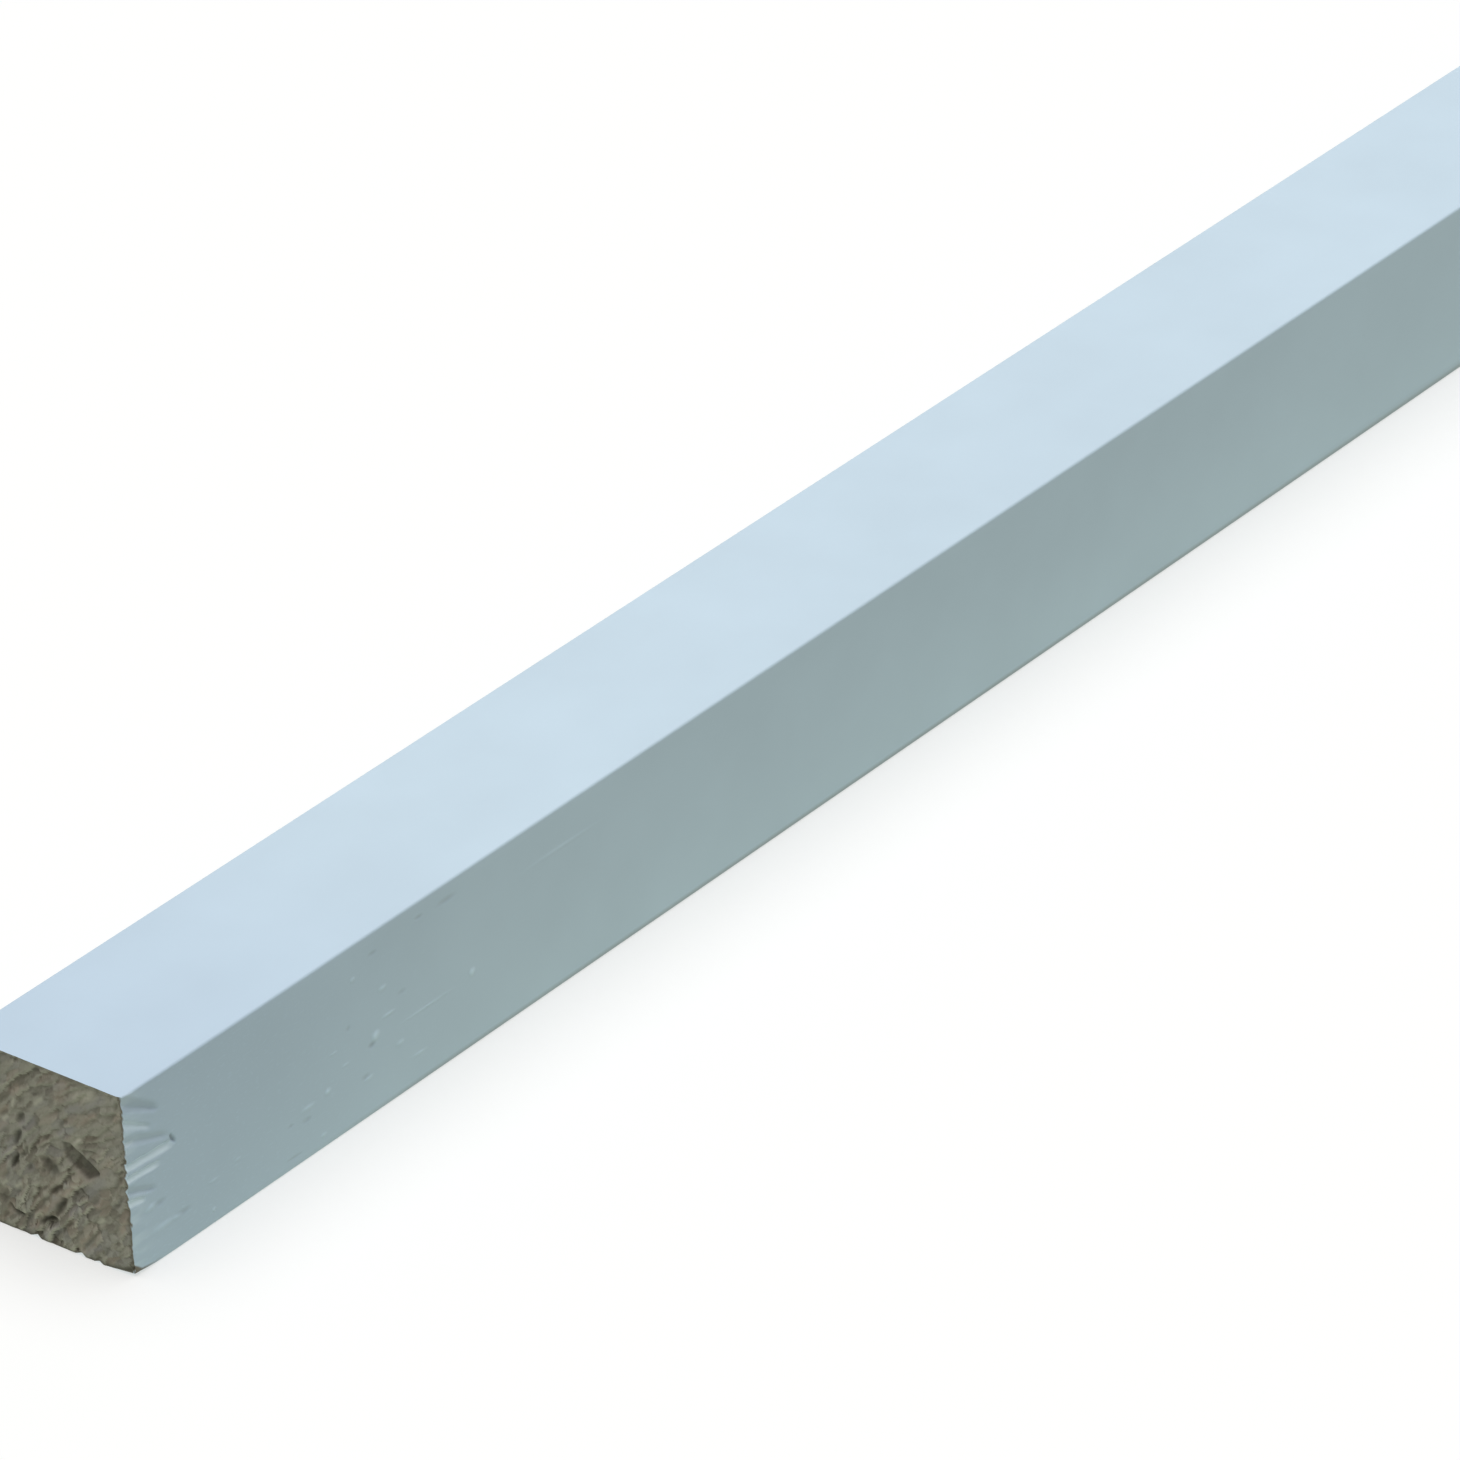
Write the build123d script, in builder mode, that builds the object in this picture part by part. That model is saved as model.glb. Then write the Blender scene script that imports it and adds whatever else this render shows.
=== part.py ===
from build123d import *
import os
from typing import NamedTuple

# Planed square section, and the length that small mouldings are sold in
width = 21.0
height = 21.0
length = 900.0

# Long edges, eased before the stick was painted
arris_radius = 0.3

# Slope of the walls of the hollows in the end grain, in degrees
hollow_wall_slope = 12.0

# How far along its run a torn groove keeps its full depth, as a share
full_depth_share = 0.78


class Tear(NamedTuple):
    """A sliver torn off a long face: a groove that starts at the saw cut and runs out to a point.

    place is the middle of its mouth, from the middle of the face. tip is its width where it
    starts to run out. root is how far the deepest line lies from the middle, and drift is how
    far the point does.
    """

    place: float
    mouth: float
    tip: float
    depth: float
    run: float
    root: float = 0.0
    drift: float = 0.0


class Hollow(NamedTuple):
    """A bundle of fibres pulled out of the torn end. Its corners are placed from the front face
    and from the bottom."""

    corners: tuple
    depth: float


class Split(NamedTuple):
    """A gap between two bundles of fibre, pointed at both ends and deepest halfway.

    Its ends are placed from the front face and from the bottom in the torn end, and from the saw
    cut and the bottom in the front face. bow is how far its middle bends to the left of the
    straight way from start to end.
    """

    start: tuple
    end: tuple
    width: float
    depth: float
    bow: float = 0.0


# Slivers that came off the front face with the paint on them, from the top edge down
front_tears = [
    Tear(place=9.9, mouth=2.6, tip=0.8, depth=0.30, run=5.6, root=-0.35, drift=-3.2),
    Tear(place=7.3, mouth=1.5, tip=0.6, depth=0.24, run=4.2, root=0.15, drift=-2.2),
    Tear(place=5.4, mouth=1.6, tip=1.0, depth=0.24, run=6.8, root=-0.25, drift=-2.3),
    Tear(place=2.15, mouth=0.95, tip=1.1, depth=0.34, run=7.5, root=0.3, drift=-0.45),
    Tear(place=0.75, mouth=0.9, tip=0.75, depth=0.32, run=5.3, root=0.28, drift=-0.25),
    Tear(place=-0.3, mouth=1.3, tip=0.9, depth=0.20, run=4.4, root=-0.3, drift=-1.6),
    Tear(place=-2.1, mouth=0.85, tip=0.5, depth=0.28, run=2.6, root=0.25, drift=-0.6),
]

# Fibres broken away under the saw along the lower edge of the cut
bottom_tears = [
    Tear(place=-2.55, mouth=1.5, tip=0.3, depth=0.42, run=3.5, root=0.25),
    Tear(place=3.3, mouth=1.55, tip=0.3, depth=0.38, run=2.5, root=0.2),
    Tear(place=5.7, mouth=1.25, tip=0.3, depth=0.28, run=3.0, root=0.13),
]

# The small dent where the split in the front face ends
front_dent = Split(start=(6.7, 13.5), end=(7.5, 12.2), width=0.4, depth=0.3)

# The lower front corner, worn down beside the cut: how far in, up and along the stick it reaches
corner_in = 4.0
corner_up = 0.7
corner_run = 4.4

# The two bundles that the saw pulled out of the middle of the end
hollows = [
    Hollow(
        corners=((8.25, 13.1), (7.4, 13.3), (5.5, 12.25), (3.6, 11.15), (3.75, 10.6), (5.35, 9.65), (7.9, 11.3)),
        depth=0.9,
    ),
    Hollow(
        corners=((11.2, 10.2), (10.4, 10.7), (9.2, 10.1), (8.7, 9.1), (9.6, 8.6), (10.9, 8.9)),
        depth=0.4,
    ),
]

# The widest gaps between the leaning bundles, from the top of the end down
splits = [
    Split(start=(0.9, 18.9), end=(1.9, 17.4), width=0.5, depth=0.4),
    Split(start=(3.7, 17.4), end=(5.6, 15.8), width=0.4, depth=0.5, bow=0.1),
    Split(start=(7.0, 15.9), end=(8.5, 14.6), width=0.4, depth=0.5, bow=0.15),
    Split(start=(13.2, 14.7), end=(14.2, 13.3), width=0.6, depth=0.6),
    Split(start=(15.0, 14.6), end=(16.4, 13.3), width=0.4, depth=0.5),
    Split(start=(13.5, 12.6), end=(14.6, 10.3), width=0.6, depth=0.6, bow=0.25),
    Split(start=(14.4, 9.6), end=(15.3, 7.6), width=0.4, depth=0.6),
    Split(start=(8.8, 7.8), end=(10.4, 6.2), width=0.5, depth=0.6),
    Split(start=(8.1, 6.5), end=(9.7, 3.7), width=0.6, depth=0.8, bow=0.15),
    Split(start=(9.6, 3.5), end=(12.0, 2.1), width=0.5, depth=1.0, bow=0.3),
    Split(start=(16.1, 3.2), end=(13.9, 2.9), width=0.4, depth=0.7, bow=0.6),
    Split(start=(12.9, 3.0), end=(14.6, 0.8), width=0.4, depth=0.6),
    Split(start=(4.1, 4.1), end=(6.6, 0.9), width=0.4, depth=0.6, bow=-0.1),
]

# The saw cut as it is drawn: x in from the front face, y up from the bottom, z into the stick
saw_cut = Plane(origin=(-length / 2, -width / 2, 0), x_dir=(0, 1, 0), z_dir=(1, 0, 0))

# The long faces, with x along the stick from the cut and z outward, from the bottom edge of the
# front face and from the middle of each
front_foot = Plane(origin=(-length / 2, -width / 2, 0), x_dir=(1, 0, 0), z_dir=(0, -1, 0))
front_face = Plane(origin=(-length / 2, -width / 2, height / 2), x_dir=(1, 0, 0), z_dir=(0, -1, 0))
bottom_face = Plane(origin=(-length / 2, 0, 0), x_dir=(1, 0, 0), z_dir=(0, 0, -1))

with BuildPart() as corner_moulding:
    # The planed stick, sawn square at both ends
    with BuildSketch(saw_cut) as section:
        with Locations((width / 2, height / 2)):
            Rectangle(width, height)
        fillet(section.vertices(), arris_radius)
    extrude(amount=length)

    # Hollows in the end grain
    for hollow in hollows:
        with BuildSketch(saw_cut):
            with BuildLine():
                Polyline(*hollow.corners, close=True)
            make_face()
        extrude(amount=hollow.depth, taper=hollow_wall_slope, mode=Mode.SUBTRACT)

    # Gaps between the bundles of fibre, and the dent: two arcs at the surface, one point below
    for face, split, inward in [(saw_cut, split, 1) for split in splits] + [(front_foot, front_dent, -1)]:
        start, end = Vector(*split.start), Vector(*split.end)
        aside = (end - start).normalized().rotate(Axis.Z, 90)
        middle = (start + end) / 2
        with BuildSketch(face, mode=Mode.PRIVATE) as mouth:
            with BuildLine():
                ThreePointArc(start, middle + aside * (split.bow - split.width / 2), end)
                ThreePointArc(end, middle + aside * (split.bow + split.width / 2), start)
            make_face()
        deepest = middle + aside * split.bow + Vector(0, 0, inward * split.depth)
        loft(sections=[mouth.sketch, Vertex(*face.from_local_coords(deepest))], mode=Mode.SUBTRACT)

    # Grooves where slivers came off the long faces
    for face, tears in ((front_face, front_tears), (bottom_face, bottom_tears)):
        for tear in tears:
            stations = []
            for share in (0.0, full_depth_share):
                middle = tear.place + tear.drift * share
                edge = (tear.mouth + (tear.tip - tear.mouth) * share) / 2
                origin = face.from_local_coords((tear.run * share, 0, 0))
                with BuildSketch(
                    Plane(origin=origin, x_dir=face.y_dir, z_dir=-face.x_dir), mode=Mode.PRIVATE
                ) as station:
                    with BuildLine():
                        Polyline(
                            (middle - edge, 0),
                            (middle + edge, 0),
                            (middle + tear.root, tear.depth),
                            close=True,
                        )
                    make_face()
                stations.append(station.sketch)
            point = face.from_local_coords((tear.run, tear.place + tear.drift, 0))
            loft(sections=[*stations, Vertex(*point)], ruled=True, mode=Mode.SUBTRACT)

    # The worn corner
    with BuildSketch(saw_cut, mode=Mode.PRIVATE) as worn:
        with BuildLine():
            Polyline((0, 0), (corner_in, 0), (0, corner_up), close=True)
        make_face()
    corner_point = front_foot.from_local_coords((corner_run, 0, 0))
    loft(sections=[worn.sketch, Vertex(*corner_point)], mode=Mode.SUBTRACT)

corner_moulding.part.label = "corner_moulding"

os.makedirs("parts", exist_ok=True)
export_step(corner_moulding.part, "parts/corner_moulding.step")
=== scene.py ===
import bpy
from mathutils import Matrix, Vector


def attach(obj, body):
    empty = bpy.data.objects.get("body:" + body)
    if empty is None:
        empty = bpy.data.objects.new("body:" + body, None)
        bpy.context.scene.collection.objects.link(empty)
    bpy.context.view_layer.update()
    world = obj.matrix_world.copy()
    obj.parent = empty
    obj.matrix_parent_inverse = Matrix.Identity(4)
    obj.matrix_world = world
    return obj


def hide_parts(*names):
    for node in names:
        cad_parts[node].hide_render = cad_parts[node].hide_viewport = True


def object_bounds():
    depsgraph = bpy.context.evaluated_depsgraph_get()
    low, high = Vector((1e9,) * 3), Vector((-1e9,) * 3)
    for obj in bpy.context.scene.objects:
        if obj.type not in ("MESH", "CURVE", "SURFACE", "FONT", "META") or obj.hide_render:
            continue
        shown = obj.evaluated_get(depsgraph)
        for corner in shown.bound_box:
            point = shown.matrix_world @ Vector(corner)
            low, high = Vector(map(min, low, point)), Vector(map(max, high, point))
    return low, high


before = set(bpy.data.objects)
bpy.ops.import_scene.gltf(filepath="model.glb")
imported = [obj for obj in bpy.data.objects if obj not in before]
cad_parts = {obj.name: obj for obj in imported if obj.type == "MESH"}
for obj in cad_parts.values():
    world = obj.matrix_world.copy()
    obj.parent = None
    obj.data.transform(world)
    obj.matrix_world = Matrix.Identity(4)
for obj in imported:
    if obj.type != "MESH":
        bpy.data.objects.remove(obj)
cad_box = [list(corner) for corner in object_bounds()]

import math
from typing import NamedTuple

import bpy
import numpy as np
from bpy.props import FloatProperty, FloatVectorProperty, IntProperty, PointerProperty
from mathutils import Matrix, Vector

bl_info = {
    "name": "Square corner moulding",
    "version": (1, 0, 0),
    "blender": (4, 5, 0),
    "location": "3D View > Sidebar > Moulding",
    "description": "Builds a painted softwood corner moulding with one torn sawn end",
    "category": "Add Mesh",
}

NODE = "corner_moulding"

MM = 0.001
METRES_TO_MM = 1000.0
SIZE = [high - low for low, high in zip(*cad_box)]

# Finishes of a face, in the order of the stick's materials
PAINT, SAWN = 0, 1


class Tear(NamedTuple):
    """A splinter torn off a long face, in mm: a groove that starts at the saw cut.

    place is the middle of its mouth, from the middle of the face, and drift is how far the other
    end lies from it. mouth and tip are its widths at both ends. root is how far the deepest line
    lies from the middle. bare is how chalky and pale the paint is in it, partly a painted highlight
    on slivers that face up, and stain how much of the wood's dark colour it has, a painted shade on
    walls that face down.
    """

    place: float
    mouth: float
    tip: float
    depth: float
    run: float
    root: float = 0.0
    drift: float = 0.0
    chalk_and_highlight: float = 0.0
    groove_shade: float = 0.0


class Gap(NamedTuple):
    """A gap between bundles of fibre, in mm. It is widest halfway along and closes at both ends.

    In the torn end the points of its path are in from the front face and up from the bottom. In
    the front face they are along from the saw cut and up from the bottom.
    """

    path: tuple
    width: float
    depth: float


class Hollow(NamedTuple):
    """A bundle pulled out of the torn end, in mm, with its corners placed as a gap's points are.

    The corners go round against the clock, with "in from the front face" drawn to the right.
    wall is how wide the slope at its outline is, and dark is how much of the crevices' dark colour,
    a painted shade, its floor has at its deepest place, from 0 to 1.
    """

    corners: tuple
    deepest: tuple
    depth: float
    wall: float
    dark: float


class Chip(NamedTuple):
    """Paint that the saw broke off along the cut's front edge, in mm, placed from mid-height."""

    up: float
    tall: float
    reach: float


class Streak(NamedTuple):
    """A streak of another tone in the torn end, in mm, with its ends placed as a gap's points are."""

    start: tuple
    end: tuple
    width: float


class Mark(NamedTuple):
    """A speck or scratch in the front face's paint, in mm from the saw cut and from mid-height.

    A raised mark has a positive height, and is drawn paler by it, a painted highlight; a sunk one is drawn
    darker, a painted shade.
    """

    along: float
    up: float
    long: float
    tall: float
    height: float


# Slivers off the front face, from the top edge down. The upper ones fan out from one split.
FRONT_TEARS = [
    Tear(place=9.9, mouth=2.6, tip=0.8, depth=0.32, run=5.6, root=-0.35, drift=-3.2, groove_shade=0.12),
    Tear(place=7.3, mouth=1.5, tip=0.6, depth=0.24, run=4.2, root=0.15, drift=-2.2, chalk_and_highlight=0.6),
    Tear(place=5.4, mouth=1.6, tip=1.0, depth=0.26, run=6.8, root=-0.25, drift=-2.3, chalk_and_highlight=0.1, groove_shade=0.09),
    Tear(place=4.85, mouth=0.8, tip=0.4, depth=0.14, run=1.8, root=0.2, drift=-0.3, chalk_and_highlight=0.7, groove_shade=0.12),
    Tear(place=2.2, mouth=1.05, tip=1.2, depth=0.38, run=7.5, root=0.35, drift=-0.45, chalk_and_highlight=1.0),
    Tear(place=0.8, mouth=0.95, tip=0.85, depth=0.3, run=5.3, root=0.25, drift=-0.25, chalk_and_highlight=1.0),
    Tear(place=-0.3, mouth=1.3, tip=0.9, depth=0.24, run=4.4, root=-0.3, drift=-1.6, groove_shade=0.1),
    Tear(place=-1.9, mouth=1.0, tip=0.7, depth=0.26, run=2.7, root=0.25, drift=-0.6, chalk_and_highlight=1.0),
]

# Fibres broken away under the saw along the lower edge of the cut
BOTTOM_TEARS = [
    Tear(place=-2.55, mouth=1.5, tip=0.3, depth=0.42, run=3.5, root=0.25),
    Tear(place=3.3, mouth=1.55, tip=0.3, depth=0.38, run=2.5, root=0.2),
    Tear(place=5.7, mouth=1.25, tip=0.3, depth=0.28, run=3.0, root=0.13),
]

# The small dent where the split in the front face ends
FRONT_DENT = Gap(((6.75, 13.5), (7.05, 12.9), (7.5, 12.15)), 0.45, 0.8)

# Where the saw broke the paint's edge on the front face
FRONT_CHIPS = [
    Chip(up=1.6, tall=1.2, reach=0.12),
    Chip(up=-4.4, tall=0.9, reach=0.55),
    Chip(up=-5.6, tall=0.8, reach=0.2),
]

# The lower front corner, worn down beside the cut, in mm: how high it is drawn up and how far that
# reaches in, up and along. Half of the rise falls away over the last distance.
CORNER_RISE, CORNER_IN, CORNER_UP = 0.62, 4.0, 3.0
CORNER_RUN, CORNER_TIP = 4.4, 0.6

# The lower front edge, drawn darker in the unpainted wood's colour: how high that reaches in mm, how
# much of that colour it has, and how soft its upper border is
EDGE_DARK, EDGE_DARK_SHARE, EDGE_DARK_BLUR = 0.3, 0.38, 0.5

# Where along the stick it starts and over what length it comes up, the length over which it grows
# by its own height, and where it stops growing
EDGE_DARK_FROM, EDGE_DARK_START = 24.0, 25.0
EDGE_DARK_SPREAD, EDGE_DARK_TO = 160.0, 260.0

# The two bundles pulled out of the middle of the end
END_HOLLOWS = [
    Hollow(
        corners=(
            *((8.25, 13.1), (7.4, 13.3), (5.5, 12.25), (3.6, 11.15)),
            *((3.75, 10.6), (5.35, 9.65), (7.9, 11.3)),
        ),
        deepest=(4.7, 10.7),
        depth=0.8,
        wall=0.22,
        dark=0.63,
    ),
    Hollow(
        corners=((11.2, 10.2), (10.4, 10.7), (9.2, 10.1), (8.7, 9.1), (9.6, 8.6), (10.9, 8.9)),
        deepest=(9.9, 9.6),
        depth=0.22,
        wall=0.9,
        dark=0.66,
    ),
]

# The gaps and hollows were placed as they look from in front and above. Their floors lie this much
# further in and lower than they look.
SUNK_SHIFT = 0.22

# Gaps between the bundles: first those of the torn lower half, then the shorter and shallower
# ones of the smoother upper half
END_GAPS = [
    Gap(((8.8, 7.8), (9.67, 6.95), (10.4, 6.2)), 0.8, 0.9),
    Gap(((8.2, 6.7), (8.8, 5.8), (9.4, 4.7), (9.9, 3.7)), 0.95, 1.05),
    Gap(((9.5, 3.55), (10.6, 3.15), (11.4, 2.7), (12.2, 1.95)), 1.15, 1.6),
    Gap(((11.7, 2.4), (12.2, 1.6), (12.8, 0.3)), 0.5, 0.5),
    Gap(((10.3, 6.0), (11.3, 4.95), (12.6, 3.4), (13.1, 2.8)), 0.5, 0.4),
    Gap(((12.9, 3.0), (13.5, 2.3), (14.0, 1.5), (14.6, 0.8)), 0.6, 0.55),
    Gap(((10.6, 7.1), (11.1, 6.6), (11.7, 6.0)), 0.5, 0.35),
    Gap(((11.8, 5.9), (12.3, 5.3), (13.0, 4.6)), 0.5, 0.22),
    Gap(((13.9, 2.7), (14.6, 2.4), (15.3, 2.4), (16.2, 3.0)), 0.8, 1.4),
    Gap(((16.2, 2.1), (16.5, 1.6), (16.9, 1.1)), 0.55, 0.5),
    Gap(((16.0, 4.8), (16.5, 4.1), (17.0, 3.1)), 1.6, 0.7),
    Gap(((14.4, 9.6), (14.9, 8.4), (15.25, 7.6)), 0.75, 1.4),
    Gap(((15.4, 7.5), (16.2, 6.5), (17.0, 5.8)), 0.6, 0.4),
    Gap(((12.55, 8.9), (12.75, 8.5), (13.05, 8.1)), 0.6, 0.5),
    Gap(((10.6, 8.85), (11.0, 8.65), (11.4, 8.35)), 0.6, 0.5),
    Gap(((13.9, 7.1), (14.15, 6.8), (14.5, 6.5)), 0.5, 0.35),
    Gap(((12.7, 10.9), (13.2, 10.1), (14.2, 8.9)), 0.6, 0.6),
    Gap(((11.6, 9.9), (11.9, 9.5), (12.3, 8.9)), 0.45, 0.25),
    Gap(((10.7, 10.6), (11.0, 10.2), (11.4, 9.7)), 0.7, 0.6),
    Gap(((14.2, 5.4), (14.8, 4.9), (15.1, 4.2)), 0.5, 0.25),
    Gap(((7.2, 3.9), (8.2, 3.3), (8.85, 2.7), (9.15, 1.5)), 0.5, 0.5),
    Gap(((9.1, 1.6), (9.9, 0.9), (10.8, 0.1)), 0.45, 0.3),
    Gap(((6.7, 8.1), (6.95, 7.7), (7.15, 7.2)), 0.6, 0.55),
    Gap(((7.0, 7.05), (7.25, 6.6)), 0.5, 0.35),
    Gap(((4.4, 7.4), (5.1, 6.8), (5.5, 6.55), (6.0, 5.9)), 0.55, 0.5),
    Gap(((3.8, 8.1), (4.2, 7.7), (4.7, 7.1)), 0.45, 0.25),
    Gap(((6.5, 5.5), (6.75, 5.1), (7.0, 4.6)), 0.65, 0.4),
    Gap(((0.4, 9.3), (1.1, 8.5), (2.0, 7.4)), 0.55, 0.45),
    Gap(((1.0, 7.1), (2.4, 6.1), (3.9, 4.95)), 0.4, 0.2),
    Gap(((3.8, 5.2), (5.3, 3.9), (6.9, 2.7)), 0.45, 0.2),
    Gap(((4.1, 4.1), (4.9, 3.14), (5.5, 2.43), (6.6, 0.8)), 0.6, 0.6),
    Gap(((1.3, 4.5), (1.5, 4.0), (1.75, 3.4)), 0.5, 0.35),
    Gap(((2.9, 2.6), (3.2, 2.0), (3.7, 1.2)), 0.55, 0.5),
    Gap(((3.9, 1.15), (4.5, 0.65), (5.1, 0.2)), 0.55, 0.5),
    Gap(((7.0, 2.4), (7.15, 2.0), (7.35, 1.5)), 0.45, 0.22),
    Gap(((13.5, 6.3), (14.0, 5.6), (14.3, 5.0)), 0.4, 0.2),
    Gap(((12.0, 8.0), (12.6, 7.3), (13.0, 6.6)), 0.4, 0.2),
    Gap(((1.9, 6.3), (2.6, 5.5), (3.0, 4.7)), 0.4, 0.16),
    Gap(((0.9, 2.6), (1.5, 1.9), (1.9, 1.1)), 0.4, 0.2),
    Gap(((14.7, 19.4), (15.2, 18.9), (15.9, 18.4)), 0.45, 0.12),
    Gap(((12.2, 20.0), (12.6, 19.6), (13.1, 19.1)), 0.5, 0.25),
    Gap(((10.2, 19.9), (10.8, 19.5), (11.2, 19.2)), 0.5, 0.25),
    Gap(((8.6, 20.2), (9.3, 19.4), (10.1, 18.75), (10.8, 18.4)), 0.55, 0.4),
    Gap(((12.0, 18.6), (12.6, 18.1), (13.4, 17.6)), 0.6, 0.35),
    Gap(((10.9, 18.1), (11.5, 17.4), (12.1, 16.6)), 0.55, 0.35),
    Gap(((14.7, 17.5), (15.0, 17.2), (15.3, 16.9)), 0.45, 0.35),
    Gap(((12.8, 16.6), (13.3, 16.2), (14.1, 15.4)), 0.7, 0.35),
    Gap(((14.4, 16.7), (15.3, 15.9), (16.2, 15.1)), 0.45, 0.22),
    Gap(((9.3, 17.6), (9.7, 17.3), (10.1, 17.0)), 0.4, 0.2),
    Gap(((7.5, 17.0), (8.6, 16.4), (9.3, 16.0), (10.0, 15.2)), 0.4, 0.22),
    Gap(((7.05, 15.85), (7.8, 15.35), (8.45, 14.6)), 0.6, 0.5),
    Gap(((3.7, 17.35), (4.6, 16.6), (5.6, 15.8)), 0.6, 0.5),
    Gap(((2.6, 18.4), (2.85, 18.0), (3.2, 17.5)), 0.5, 0.32),
    Gap(((0.2, 20.3), (0.6, 19.8), (1.05, 19.2)), 0.6, 0.5),
    Gap(((0.9, 18.9), (1.4, 18.2), (1.9, 17.4)), 0.7, 0.4),
    Gap(((5.9, 17.2), (6.4, 16.8)), 0.45, 0.22),
    Gap(((5.0, 20.4), (5.3, 19.9), (5.5, 19.3)), 0.45, 0.2),
    Gap(((8.0, 19.8), (8.2, 19.0), (8.4, 18.1)), 0.4, 0.16),
    Gap(((3.5, 15.5), (4.0, 15.0), (4.7, 14.3)), 0.65, 0.3),
    Gap(((5.6, 14.9), (5.3, 14.4), (5.1, 14.0)), 0.4, 0.25),
    Gap(((2.9, 13.4), (3.7, 12.87), (4.5, 12.0)), 0.5, 0.32),
    Gap(((13.2, 14.7), (13.75, 13.9), (14.15, 13.3)), 0.85, 0.8),
    Gap(((15.0, 14.6), (15.5, 14.1), (16.4, 13.3)), 0.65, 0.5),
    Gap(((11.3, 14.4), (11.5, 14.0), (11.75, 13.5)), 0.5, 0.45),
    Gap(((12.9, 12.95), (13.3, 12.6)), 0.45, 0.4),
    Gap(((9.5, 13.75), (9.85, 13.4), (10.9, 12.35)), 0.5, 0.45),
    Gap(((13.5, 12.6), (14.0, 12.0), (14.3, 11.6), (14.6, 10.3)), 0.9, 1.0),
    Gap(((15.0, 12.3), (15.8, 11.7), (16.7, 11.2)), 0.45, 0.25),
    Gap(((11.3, 12.2), (11.8, 11.5), (12.3, 10.8)), 0.65, 0.35),
    Gap(((0.0, 11.9), (0.85, 11.15), (1.9, 9.9)), 0.6, 0.5),
    Gap(((9.6, 12.4), (9.2, 12.0), (8.5, 12.15)), 0.4, 0.18),
    Gap(((1.5, 14.0), (2.0, 13.4), (2.2, 12.8)), 0.4, 0.2),
    Gap(((6.6, 19.6), (7.0, 18.9), (7.4, 18.4)), 0.35, 0.12),
]

# Pinkish brown streaks of resin
ROSY_STREAKS = [
    Streak((8.7, 6.5), (12.4, 2.8), 0.9),
    Streak((6.1, 9.5), (8.7, 6.5), 0.8),
    Streak((13.7, 17.3), (14.6, 16.7), 1.0),
    Streak((7.4, 20.0), (8.4, 18.2), 1.4),
    Streak((3.6, 17.7), (5.3, 16.3), 0.7),
    Streak((15.4, 14.5), (16.5, 13.6), 0.7),
    Streak((15.8, 12.6), (16.6, 12.0), 0.8),
    Streak((1.9, 12.9), (3.1, 11.3), 0.9),
    Streak((0.4, 18.9), (1.0, 18.1), 0.7),
    Streak((3.4, 8.0), (4.3, 6.9), 0.7),
    Streak((5.6, 2.9), (6.5, 1.9), 0.7),
    Streak((12.5, 2.0), (13.3, 1.2), 0.7),
    Streak((0.5, 6.6), (1.0, 5.4), 0.8),
]

# Greyer, weathered streaks
SLATE_STREAKS = [
    Streak((12.2, 14.3), (13.1, 13.3), 1.4),
    Streak((6.7, 15.3), (8.3, 13.9), 0.9),
    Streak((5.4, 18.1), (7.0, 17.0), 1.0),
    Streak((2.4, 20.1), (4.4, 18.4), 1.0),
    Streak((6.4, 6.4), (7.7, 4.9), 1.0),
    Streak((3.0, 10.4), (5.2, 8.1), 1.1),
    Streak((15.2, 9.6), (16.1, 8.5), 1.3),
    Streak((9.6, 2.4), (11.3, 0.9), 1.1),
    Streak((4.1, 2.3), (6.1, 0.5), 0.7),
    Streak((14.8, 11.0), (15.5, 9.9), 0.9),
]

# Pale patches, a painted highlight where bundles catch more light
PALE_STREAKS = [
    Streak((5.5, 19.2), (4.0, 20.1), 1.7),
    Streak((6.7, 12.9), (5.9, 14.3), 0.8),
    Streak((14.4, 15.9), (14.5, 15.0), 0.4),
    Streak((12.6, 2.6), (12.1, 3.1), 0.6),
    Streak((14.9, 5.6), (14.3, 6.1), 0.5),
    Streak((16.6, 5.3), (16.1, 5.8), 0.5),
    Streak((4.0, 5.0), (3.4, 5.7), 0.7),
    Streak((11.4, 16.4), (10.6, 17.2), 0.6),
    Streak((15.9, 13.0), (15.3, 13.6), 0.5),
]

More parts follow.
